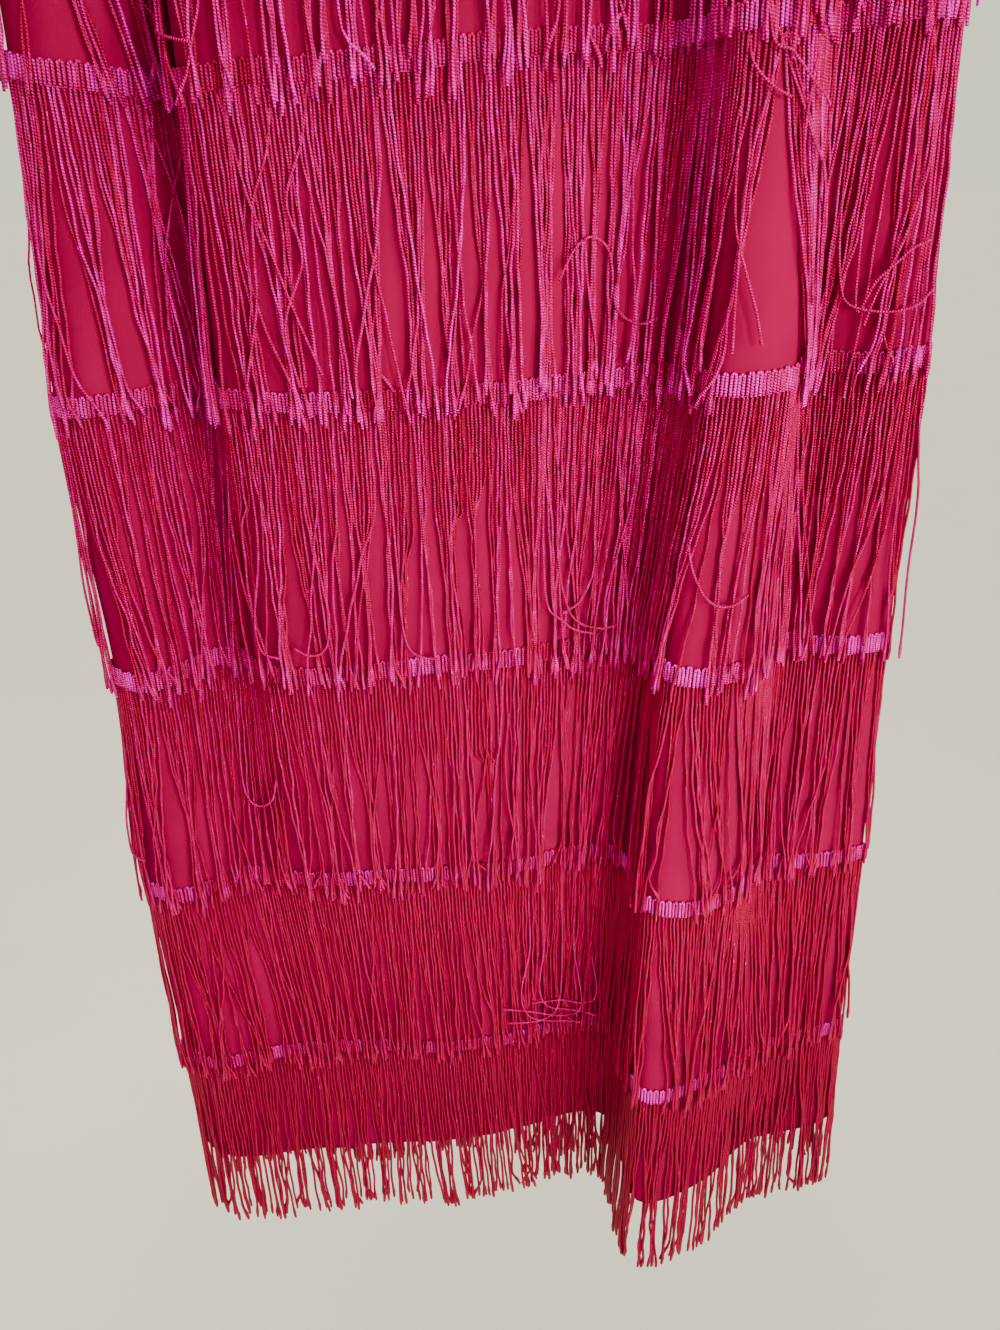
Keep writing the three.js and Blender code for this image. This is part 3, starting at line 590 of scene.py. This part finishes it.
def strand_drift(rng, tier, name, places, length, share, table):
    """How far each strand has moved along the cloth (N x M) when it has fallen by share."""
    count = len(places)
    middle, waist_width, foot_width, opens, waist, lift = clumps(rng, places)
    calm = TIER_EVENNESS[tier - 1]

    # A width of 1 keeps a clump as wide as at its root, 0 draws it to a line, and below 0 it crosses
    waist_width = np.clip(waist_width + rng.normal(0, 0.12, count) + calm, 0.0, 1.1)[:, None]
    foot_width = np.clip(foot_width + rng.normal(0, 0.3, count) + calm * 1.5, -0.8, 1.1)[:, None]
    opens = (opens + rng.uniform(-0.05, 0.05, count))[:, None]
    waist = (waist + rng.uniform(-0.06, 0.06, count))[:, None]
    kept = (1 + (waist_width - 1) * smooth_step(share[None], opens, waist)
            + (foot_width - waist_width) * smooth_step(share[None], waist - 0.1, waist + 0.6))
    drift = (middle - places)[:, None] * (1 - kept)

    # Strands lean together over long stretches, and less beside the seams
    inner = np.sin(np.pi * np.clip(places / length, 0, 1)) ** 0.3
    lean = (3.0 * np.sin(places / 67 + tier * 1.9) + 2.4 * np.sin(places / 21 + tier * 0.7)) * inner
    if name == "front":
        at = np.interp(places, table[1], table[0])
        for at_tier, key, half_width, foot in LEANS:
            if at_tier == tier:
                lean = lean + foot * np.exp(-((at - key) / half_width) ** 2)
    drift += (lean + rng.normal(0, 0.7, count))[:, None] * share**1.15
    if name == "front":
        for at_tier, key, width, begins, closes in BARE_PATCHES:
            if at_tier == tier:
                # Strands beside a bare patch are pushed away from it, and the nearest the most
                away = places - np.interp(key, *table)
                fall = np.clip((share - begins) / (1 - begins), 0, 1)
                spread = fall**1.1 * (1 - closes * smooth_step(share, 0.72, 1.0))
                push = np.sign(away) * np.exp(-np.abs(away) / (3 + width * 0.8)) * width / 2
                drift += push[:, None] * spread[None]
    return drift, lift


def strand_paths(rng, tier, name, pitch, steps, drop):
    """Centrelines of one tier's strands, with their outward directions, radii and tones."""
    band = band_height(tier)
    table = arc_table(band, *PANELS[name]["keys"])
    length = table[1][-1]
    usable = length - 2 * STRAND_MARGIN
    count = int(usable / pitch)
    places = (np.arange(count) + 0.5) / count * usable + STRAND_MARGIN
    places = places + rng.normal(0, PLACE_SPREAD, count)

    # The steps down a strand lie a little closer together towards its foot
    share = np.linspace(0, 1, steps) ** 0.93
    drift, lift = strand_drift(rng, tier, name, places, length, share, table)

    # Each strand's own slow bends, a few that cross their neighbours, and hooked ends
    phase = rng.uniform(0, 2 * math.pi, (3, count, 1))
    swing = rng.normal(0, SWING_SPREAD, (count, 1))
    drift += share * swing * np.sin(phase[0] + share * rng.uniform(3, 7, (count, 1)))
    drift += 0.55 * share**0.5 * np.sin(phase[1] + share * rng.uniform(9, 18, (count, 1)))
    drift += rng.uniform(0.1, 0.4, (count, 1)) * np.sin(phase[2] + share * rng.uniform(24, 44, (count, 1)))
    crossing = rng.random(count) < CROSSING_SHARE[tier - 1]
    if name == "front":
        for at_tier, key, width, _, _ in BARE_PATCHES:
            if at_tier == tier:
                crossing &= np.abs(places - np.interp(key, *table)) > width
    crossing = crossing[:, None]
    across = rng.normal(0, CROSSING_SPREAD, (count, 1))
    leaves = rng.uniform(-0.1, 0.5, (count, 1))
    drift += crossing * across * smooth_step(share, leaves, 1.1)
    hooked = (rng.random(count) < HOOKED_SHARE)[:, None]
    hook = hooked * rng.normal(0, HOOK_SPREAD, (count, 1))
    drift += hook * smooth_step(share, 0.86, 1.0) ** 2

    # Some strands end short, and each lies in a layer of its own over the cloth
    short = (rng.random(count) < SHORT_SHARE) * rng.uniform(*SHORT_BY, count)
    drops = (drop + rng.normal(0, END_SPREAD, count) - lift - short)[:, None] - np.abs(hook) * 0.6
    root = band + band_wave(tier, places)[:, None] + HEADER_BOTTOM + HIDDEN_ROOT
    heights = root - drops * share
    layer = rng.uniform(0, 1, (count, 1)) ** 1.3
    off = HEADER_OFF + (OVER_HEADER_OFF - HEADER_OFF) * smooth_step(share, 0.55, 0.9)
    off = off + layer * LAYERS_DEEP * smooth_step(share, 0.05, 0.6)
    off = off + crossing * CROSSING_OFF * smooth_step(share, 0.1, 0.5)
    off = off + 0.35 * np.sin(phase[0] + share * 11) * smooth_step(share, 0.1, 0.4)
    along = np.clip(places[:, None] + drift, LOOP_MARGIN, length - LOOP_MARGIN)
    keys = np.interp(along, table[1], table[0])
    paths = dress_point(heights, keys, off)
    outs = outward(np.clip(heights, 0, None), keys)
    thickness = 1 + rng.normal(0, THICKNESS_SPREAD, (count, 1))
    radii = STRAND_RADIUS * TIER_RADIUS[tier - 1] * thickness * np.ones((1, steps))
    radii[:, -2] *= STRAND_KNOT
    # Outer and crossing strands are painted paler and deeper ones darker: painted light and shade on each
    # strand's own random tone
    tones = rng.uniform(0.1, 0.6, (count, 1)) + (layer - 0.4) * 0.7 + crossing * 0.15
    darkest, palest = TIER_TONES[tier - 1]
    # A painted highlight at each foot, except on the lowest tier
    end_painted_highlight = END_PAINTED_HIGHLIGHT * palest if tier < TIER_COUNT else 0.0
    tones = darkest + np.clip(tones, 0, 1) * (palest - darkest) + end_painted_highlight * smooth_step(share, 0.88, 1.0)
    return paths, outs, radii, tones


def smooth_curve(points, steps):
    """A Catmull-Rom curve through the rows of points."""
    points = np.asarray(points, float)
    padded = np.concatenate([2 * points[:1] - points[1:2], points, 2 * points[-1:] - points[-2:-1]])
    run = np.linspace(0, len(points) - 1, steps)
    i = np.clip(run.astype(int), 0, len(points) - 2)
    t = (run - i)[:, None]
    a, b, c, d = (padded[i + k] for k in range(4))
    return 0.5 * (2 * b + (c - a) * t + (2 * a - 5 * b + 4 * c - d) * t**2 + (3 * b - a - 3 * c + d) * t**3)


# A stray whose first point lies further below its header than this is led down from it
STRAY_GAP = 30
STRAY_TONE = 0.5


def stray_paths(tier, steps=44):
    """Strands that fall among the others and end in a curl over them."""
    root = band_height(tier) + HEADER_BOTTOM
    curves = []
    for at, *points in STRAYS:
        if at == tier:
            key, height = points[0]
            far_below = root - height > STRAY_GAP
            above = [(key, root - (root - height) * t) for t in (0, 0.5) if far_below]
            curves.append(smooth_curve(above + points, steps))
    if not curves:
        return None
    curves = np.stack(curves)
    share = np.linspace(0, 1, steps)
    off = HEADER_OFF + (STRAY_OFF - HEADER_OFF) * smooth_step(share, 0.1, 0.6) + np.zeros(curves.shape[:2])
    keys, heights = curves[..., 0], curves[..., 1]
    radii = np.full(keys.shape, STRAND_RADIUS)
    radii[:, -2] *= STRAY_KNOT
    tones = np.full(keys.shape, STRAY_TONE)
    return dress_point(heights, keys, off), outward(heights, keys), radii, tones


def header_paths(rng, tier, name):
    """The loops of chain stitch that make a header, as centrelines side by side."""
    band = band_height(tier)
    table = arc_table(band, *PANELS[name]["keys"])
    length = table[1][-1]
    usable = length - 2 * LOOP_MARGIN
    count = int(usable / LOOP_PITCH)
    middles = (np.arange(count) + 0.5) / count * usable + LOOP_MARGIN
    turn = np.linspace(math.pi, 0, 5)
    across = np.concatenate([[-LOOP_HALF] * 3, LOOP_HALF * np.cos(turn), [LOOP_HALF] * 3])
    top = HEADER_TOP - LOOP_HALF - LOOP_RADIUS
    up = np.concatenate([np.linspace(HEADER_BOTTOM, top, 4)[:3], top + LOOP_HALF * np.sin(turn),
                         np.linspace(top, HEADER_BOTTOM, 4)[1:]])

    # Each loop sits a little unevenly, and its foot stays on the header's lower edge
    places = middles[:, None] + across + rng.normal(0, 0.12, (count, 1))
    heights = (band + band_wave(tier, middles)[:, None] + up
               + rng.normal(0, 0.3, (count, 1)) * (up > 0))
    keys = np.interp(np.clip(places, 0.9, length - 0.9), table[1], table[0])
    off = np.full(places.shape, HEADER_OFF) + rng.normal(0, 0.1, (count, 1))
    radii = np.full(places.shape, LOOP_RADIUS)
    slow = 0.13 * np.sin(middles / 23 + tier * 2.7) + 0.1 * np.sin(middles / 9.1 + tier)
    at = np.interp(middles, table[1], table[0])
    # Painted light: the header is paler where little hangs over it
    for key, half_width, painted_light in HEADER_PAINTED_LIGHT:
        slow = slow + painted_light * np.exp(-((at - key) / half_width) ** 2)
    tones = HEADER_TONE + slow[:, None] + rng.uniform(-0.15, 0.15, (count, 1))
    tones = tones + np.zeros(places.shape)
    return dress_point(heights, keys, off), outward(heights, keys), radii, tones


FRONT_QUALITY = {"pitch": STRAND_PITCH, "steps": 27, "sides": 5, "loop_sides": 5}
BACK_QUALITY = {"pitch": 2.5, "steps": 20, "sides": 4, "loop_sides": 4}
FIRST_SEED = 40


def make_fringe(tier, name):
    rng = np.random.default_rng(FIRST_SEED + tier * 2 + (name == "back"))
    quality = FRONT_QUALITY if name == "front" else BACK_QUALITY
    strands = strand_paths(rng, tier, name, quality["pitch"], quality["steps"], STRAND_DROP)
    parts = [tubes(*strands, quality["sides"])]
    parts.append(tubes(*header_paths(rng, tier, name), quality["loop_sides"]))
    strays = stray_paths(tier) if name == "front" else None
    if strays:
        parts.append(tubes(*strays, quality["sides"]))
    vertices, faces, uvs, tones = joined(parts)
    return make_object(f"{name}_strands_{tier}", to_frame(vertices), faces, uvs, tones)


# The hanger. Its bar rounds off towards each end: how far in, and how large it is there.
BAR_SIDES = 28
BAR_END_AT = np.array([0, 1.2, 3.2, 6.5, 12])
BAR_END_SIZE = np.array([0.3, 0.62, 0.85, 0.97, 1.0])
BAR_MIDDLE_FROM = 24
BAR_STATIONS = 46

# How softly the bar bends down from its level middle, how square its section is (a lower power
# is squarer), and how much less than its nominal half depth and half height it measures
BAR_BLEND = 14
BAR_SQUARENESS = 0.9
BAR_LESS_DEPTH, BAR_LESS_HEIGHT = 0.35, 0.45


def make_bar():
    left = -BAR_HALF_LENGTH + BAR_END_AT
    reach = BAR_HALF_LENGTH - BAR_MIDDLE_FROM
    middle = np.linspace(-reach, reach, BAR_STATIONS)
    x = np.concatenate([left, middle, -left[::-1]])
    size = np.concatenate([BAR_END_SIZE, np.ones(len(middle)), BAR_END_SIZE[::-1]])
    beyond = (np.abs(x) - BAR_FLAT_HALF) / BAR_BLEND
    centre = BAR_CENTRE - BAR_SLOPE * BAR_BLEND * np.logaddexp(0, beyond)
    angle = np.arange(BAR_SIDES) * 2 * math.pi / BAR_SIDES
    y, z = (np.sign(wave) * np.abs(wave) ** BAR_SQUARENESS * half
            for wave, half in ((np.cos(angle), BAR_HALF_DEPTH - BAR_LESS_DEPTH),
                               (np.sin(angle), BAR_HALF_HEIGHT - BAR_LESS_HEIGHT)))
    vertices = np.stack([np.repeat(x, BAR_SIDES), HANGER_Y + np.outer(size, y).ravel(),
                         (centre[:, None] + np.outer(size, z)).ravel()], -1)
    index = np.arange(len(x) * BAR_SIDES).reshape(len(x), BAR_SIDES)
    turned = np.roll(index, -1, axis=1)
    quads = np.stack([index[:-1], turned[:-1], turned[1:], index[1:]], -1).reshape(-1, 4)
    faces = quads.tolist() + [index[0, ::-1].tolist(), index[-1].tolist()]
    return make_object("bar", to_frame(vertices), faces)


# The hook's rod, a little slimmer than its nominal size, and the rounding of its tip
HOOK_SIDES = 14
HOOK_STEPS = 150
HOOK_SLIMNESS = 0.96
TIP_SIZES = (0.8, 0.45)

# The hook stands over the bar where a corner of an eight-sided section would be highest
BAR_TOP_ANGLE = 67.5


def make_hook():
    foot = BAR_CENTRE + BAR_HALF_HEIGHT * math.sin(math.radians(BAR_TOP_ANGLE)) + SEAM_GAP
    points = [(0, foot), (0, foot + 4), (1.5, foot + HOOK_STEM * 0.45), (11, foot + HOOK_STEM * 0.9)]
    points += [(HOOK_BEND * math.cos(math.radians(a)), HOOK_CENTRE + HOOK_BEND * math.sin(math.radians(a)))
               for a in range(-30, 196, 25)]
    path = smooth_curve([(x, HANGER_Y, z) for x, z in points], HOOK_STEPS)[None]
    outs = np.broadcast_to(np.array([0.0, -1.0, 0.0]), path.shape)
    radii = np.full(path.shape[:2], HOOK_ROD * HOOK_SLIMNESS)
    radii[0, -2:] *= TIP_SIZES
    vertices, faces, uvs, _ = tubes(path, outs, radii, np.zeros(radii.shape), HOOK_SIDES)
    return make_object("hook", to_frame(vertices), faces, uvs)


# Materials. The jersey's knit is in metres and the cords' stitch in millimetres.
WALE_SPACING, COURSE_SPACING = 0.0007, 0.0006
STITCH_LENGTH = 1.35
STITCH_SLANT = 5.0
MAGENTA_SHEEN = (1.0, 0.01, 0.3, 1)


def new_material(name):
    material = bpy.data.materials.new(name)
    material.use_nodes = True
    nodes, links = material.node_tree.nodes, material.node_tree.links
    return material, nodes, links, nodes["Principled BSDF"]


def ramp(nodes, stops):
    node = nodes.new("ShaderNodeValToRGB")
    elements = node.color_ramp.elements
    while len(elements) < len(stops):
        elements.new(0.5)
    for element, (position, colour) in zip(elements, stops):
        element.position = position
        element.color = (*colour, 1)
    return node


def set_inputs(node, values):
    for name, value in values.items():
        node.inputs[name].default_value = value


def paint(nodes, links, shader, level, stops):
    """Colours the shader from a ramp, by the level at each point."""
    colours = ramp(nodes, stops)
    links.new(level, colours.inputs["Fac"])
    links.new(colours.outputs["Color"], shader.inputs["Base Color"])


def noise(nodes, links, coordinates, scale, detail=2.0, roughness=0.5):
    node = nodes.new("ShaderNodeTexNoise")
    set_inputs(node, {"Scale": scale, "Detail": detail, "Roughness": roughness})
    links.new(coordinates, node.inputs["Vector"])
    return node


def math_node(nodes, links, operation, a, b=None):
    node = nodes.new("ShaderNodeMath")
    node.operation = operation
    for socket, value in zip(node.inputs, (a, b)):
        if value is None:
            continue
        if isinstance(value, (int, float)):
            socket.default_value = value
        else:
            links.new(value, socket)
    return node.outputs[0]


def ripple(nodes, links, coordinate, spacing):
    """A wave that repeats at the spacing along one coordinate."""
    phase = math_node(nodes, links, "MULTIPLY", coordinate, 2 * math.pi / spacing)
    return math_node(nodes, links, "SINE", phase)


def stretched(nodes, links, scale):
    """The object's own coordinates, scaled along each axis."""
    mapping = nodes.new("ShaderNodeMapping")
    mapping.inputs["Scale"].default_value = scale
    links.new(nodes.new("ShaderNodeTexCoord").outputs["Object"], mapping.inputs["Vector"])
    return mapping.outputs["Vector"]


def bump(nodes, links, height, shader, strength, distance):
    node = nodes.new("ShaderNodeBump")
    set_inputs(node, {"Strength": strength, "Distance": distance})
    links.new(height, node.inputs["Height"])
    links.new(node.outputs["Normal"], shader.inputs["Normal"])


def jersey_material():
    """Matt dyed knit: fine wales and courses, a little mottling, and a soft nap."""
    material, nodes, links, shader = new_material("jersey")
    place = nodes.new("ShaderNodeTexCoord").outputs["Object"]
    cloudy = noise(nodes, links, place, 14, 3)
    paint(nodes, links, shader, cloudy.outputs["Fac"],
          ((0.3, (0.195, 0.0003, 0.029)), (0.7, (0.24, 0.0004, 0.036))))
    split = nodes.new("ShaderNodeSeparateXYZ")
    links.new(place, split.inputs[0])
    wales = ripple(nodes, links, split.outputs["X"], WALE_SPACING)
    courses = ripple(nodes, links, split.outputs["Z"], COURSE_SPACING)
    knit = math_node(nodes, links, "MULTIPLY", wales, courses)
    fuzz = noise(nodes, links, place, 900, 2)
    knit = math_node(nodes, links, "MULTIPLY", knit, 0.35)
    height = math_node(nodes, links, "ADD", knit, fuzz.outputs["Fac"])
    bump(nodes, links, height, shader, 0.25, 0.0003)
    set_inputs(shader, {"Roughness": 0.8, "Specular IOR Level": 0.0, "Sheen Weight": 0.1,
                        "Sheen Roughness": 0.5, "Sheen Tint": MAGENTA_SHEEN})
    return material


def cord_material():
    """Shiny chain-stitched rayon: slanting stitches along the cord, and a magenta sheen, partly real and
    partly painted highlight, with painted shade.
    """
    material, nodes, links, shader = new_material("chainette")
    split = nodes.new("ShaderNodeSeparateXYZ")
    links.new(nodes.new("ShaderNodeUVMap").outputs["UV"], split.inputs[0])
    tone = nodes.new("ShaderNodeAttribute")
    tone.attribute_name = "tone"

    # The stitches slant evenly across a cord's outer side, where U is about 0.25
    around = math_node(nodes, links, "SUBTRACT", split.outputs["X"], 0.75)
    around = math_node(nodes, links, "ABSOLUTE", around)
    slant = math_node(nodes, links, "MULTIPLY", around, STITCH_SLANT)
    along = math_node(nodes, links, "MULTIPLY", split.outputs["Y"], 2 * math.pi / STITCH_LENGTH)
    stitch = math_node(nodes, links, "SINE", math_node(nodes, links, "ADD", along, slant))
    bump(nodes, links, stitch, shader, 1.0, 0.00028)

    # The level on the ramp of colours is the strand's tone, with painted shade and highlight on each
    # stitch's relief, stronger on a pale strand
    depth = math_node(nodes, links, "MULTIPLY", tone.outputs["Fac"], 0.25)
    depth = math_node(nodes, links, "ADD", depth, 0.05)
    shade = math_node(nodes, links, "MULTIPLY", stitch, depth)
    level = math_node(nodes, links, "ADD", shade, tone.outputs["Fac"])

    # Painted highlight and shade in streaks down the cords, stronger on the pale ones too
    drawn_out = stretched(nodes, links, (600, 600, 110))
    painted_sheen_noise = noise(nodes, links, drawn_out, 1.0, 2)
    highlight_streaks = math_node(nodes, links, "SUBTRACT", painted_sheen_noise.outputs["Fac"], 0.5)
    highlight_streaks = math_node(nodes, links, "MULTIPLY", highlight_streaks, 1.2)
    strength = math_node(nodes, links, "ADD", tone.outputs["Fac"], 0.15)
    highlight_streaks = math_node(nodes, links, "MULTIPLY", highlight_streaks, strength)
    level = math_node(nodes, links, "ADD", level, highlight_streaks)

    # Painted glints: here and there a stitch is painted pale as if it caught the light
    fine = noise(nodes, links, drawn_out, 2.6, 1)
    glint = math_node(nodes, links, "SUBTRACT", fine.outputs["Fac"], 0.66)
    glint = math_node(nodes, links, "MAXIMUM", glint, 0.0)
    glint = math_node(nodes, links, "MULTIPLY", glint, 5.0)
    level = math_node(nodes, links, "ADD", level, glint)
    # The ramp's pale end is the magenta of a painted highlight
    paint(nodes, links, shader, level,
          ((0.0, (0.20, 0.0015, 0.018)), (0.3, (0.38, 0.0015, 0.034)), (0.55, (0.52, 0.002, 0.125)),
           (0.8, (0.70, 0.003, 0.28)), (1.0, (0.95, 0.012, 0.6))))
    set_inputs(shader, {"Roughness": 0.4, "Metallic": 0.36, "Specular IOR Level": 0.12,
                        "Specular Tint": (1.0, 0.06, 0.5, 1), "Sheen Weight": 0.08,
                        "Sheen Roughness": 0.3, "Sheen Tint": MAGENTA_SHEEN})
    return material


def wood_material():
    material, nodes, links, shader = new_material("beech")
    grain = noise(nodes, links, stretched(nodes, links, (9, 90, 90)), 3, 5, 0.6)
    paint(nodes, links, shader, grain.outputs["Fac"],
          ((0.35, (0.30, 0.15, 0.06)), (0.6, (0.50, 0.29, 0.13))))
    bump(nodes, links, grain.outputs["Fac"], shader, 0.15, 0.0002)
    set_inputs(shader, {"Roughness": 0.35, "Coat Weight": 0.3})
    return material


def wire_material():
    material, nodes, links, shader = new_material("wire")
    place = nodes.new("ShaderNodeTexCoord").outputs["Object"]
    scuffs = noise(nodes, links, place, 400, 3)
    rough = ramp(nodes, ((0.3, (0.22, 0.22, 0.22)), (0.7, (0.38, 0.38, 0.38))))
    links.new(scuffs.outputs["Fac"], rough.inputs["Fac"])
    links.new(rough.outputs["Color"], shader.inputs["Roughness"])
    set_inputs(shader, {"Base Color": (0.62, 0.62, 0.63, 1), "Metallic": 1.0})
    return material


# The floor and the light, in metres
FLOOR_DROP = 0.8
FLOOR_HALF = 40.0


def make_stage():
    floor_height = cad_box[0][2] - FLOOR_DROP
    corners = [(x * FLOOR_HALF, y * FLOOR_HALF, floor_height)
               for x, y in ((-1, -1), (1, -1), (1, 1), (-1, 1))]
    mesh = bpy.data.meshes.new("floor")
    mesh.from_pydata(corners, [], [(0, 1, 2, 3)])
    floor = bpy.data.objects.new("floor", mesh)
    bpy.context.collection.objects.link(floor)
    material, nodes, links, shader = new_material("floor")
    place = nodes.new("ShaderNodeTexCoord").outputs["Object"]
    mottle = noise(nodes, links, place, 3, 2)
    paint(nodes, links, shader, mottle.outputs["Fac"],
          ((0.3, (0.87, 0.845, 0.64)), (0.7, (0.89, 0.865, 0.66))))
    set_inputs(shader, {"Roughness": 0.95, "Specular IOR Level": 0.1})
    floor.data.materials.append(material)

    # The studio is pale behind the dress, and dimmer overhead and in front of it
    world = bpy.data.worlds.new("studio")
    world.use_nodes = True
    nodes, links = world.node_tree.nodes, world.node_tree.links
    split = nodes.new("ShaderNodeSeparateXYZ")
    links.new(nodes.new("ShaderNodeTexCoord").outputs["Generated"], split.inputs[0])
    above = math_node(nodes, links, "MAXIMUM", split.outputs["Z"], 0.0)
    above = math_node(nodes, links, "MULTIPLY", above, 0.5)
    behind = math_node(nodes, links, "SUBTRACT", split.outputs["Y"], above)
    sky = ramp(nodes, ((0.0, (0.22, 0.215, 0.19)), (0.75, (1.08, 1.05, 0.85))))
    sky.color_ramp.interpolation = "EASE"
    links.new(behind, sky.inputs["Fac"])
    links.new(sky.outputs["Color"], nodes["Background"].inputs["Color"])
    bpy.context.scene.world = world


def area_light(name, place, target, size, power, colour, spread=180):
    data = bpy.data.lights.new(name, "AREA")
    data.shape = "DISK"
    data.size = size
    data.spread = math.radians(spread)
    data.energy = power
    data.color = colour
    light = bpy.data.objects.new(name, data)
    ahead = np.array(target, float) - np.array(place, float)
    ahead /= np.linalg.norm(ahead)
    level = np.cross(ahead, (0, 0, 1))
    level /= np.linalg.norm(level)
    up = np.cross(level, ahead)
    turn = Matrix([list(axis) for axis in zip(level, up, -ahead)]).to_4x4()
    light.matrix_world = Matrix.Translation(place) @ turn
    bpy.context.collection.objects.link(light)


WARM = (1.0, 0.98, 0.95)
PINKISH = (1.0, 0.97, 1.0)
COOL = (0.96, 0.97, 1.0)


def make_lights():
    area_light("key", (1.15, -1.0, -0.45), (0.0, 0.0, -0.5), 0.3, 4.3, WARM, spread=90)
    area_light("sparkle", (0.75, -1.25, -0.5), (0.0, 0.0, -0.5), 0.16, 3.4, PINKISH, spread=80)
    area_light("low", (0.3, -1.3, -0.9), (0.0, 0.0, -1.0), 0.8, 2.3, WARM, spread=60)
    area_light("fill", (-1.3, -1.2, 0.0), (0.0, 0.0, -0.6), 1.0, 0.6, COOL)

    # Two narrow beams on the big fold
    for height, target, power in ((-0.45, (0.08, -0.05, -0.58), 0.12), (-0.8, (0.08, -0.07, -0.86), 0.18)):
        area_light("fold", (0.4, -1.0, height), target, 0.16, power, PINKISH, spread=26)

    # Two from behind, on the dress's back and edges
    area_light("behind", (0.2, 1.6, 0.5), (0.0, 0.0, -0.55), 1.2, 14, (1.0, 0.98, 0.96))
    area_light("back", (-0.7, 1.6, -0.1), (0.0, 0.0, -0.7), 0.5, 3.6, WARM, spread=60)

    # Ceiling light, so wide and high that it falls the same on all of the floor
    data = bpy.data.lights.new("ceiling", "SUN")
    data.energy = 3.25
    data.angle = math.radians(50)
    data.color = (1.0, 0.99, 0.97)
    ceiling = bpy.data.objects.new("ceiling", data)
    ceiling.rotation_euler = (math.radians(14), 0, 0)
    bpy.context.collection.objects.link(ceiling)


# Put it all together
make_camera()
make_stage()
make_lights()

jersey, cord, beech, wire = jersey_material(), cord_material(), wood_material(), wire_material()
bar, hook = make_bar(), make_hook()
for piece, node, material, slot in ((bar, "hanger_bar", beech, "hanger_wood"),
                                    (hook, "hanger_hook", wire, "hook_wire")):
    piece.data.materials.append(material)
    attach(piece, "root")
    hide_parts(node)

for name in PANELS:
    cloth, cut_area = make_panel(name)
    cloth.data.materials.append(jersey)
    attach(cloth, "root")
    for part in ("skirt", "body", "yoke"):
        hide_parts(f"{name}_{part}")
    for tier in range(1, TIER_COUNT + 1):
        strands = make_fringe(tier, name)
        strands.data.materials.append(cord)
        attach(strands, "root")
        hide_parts(f"{name}_fringe_{tier}")
    width = arc_table(0, *PANELS[name]["keys"])[1][-1] * MM
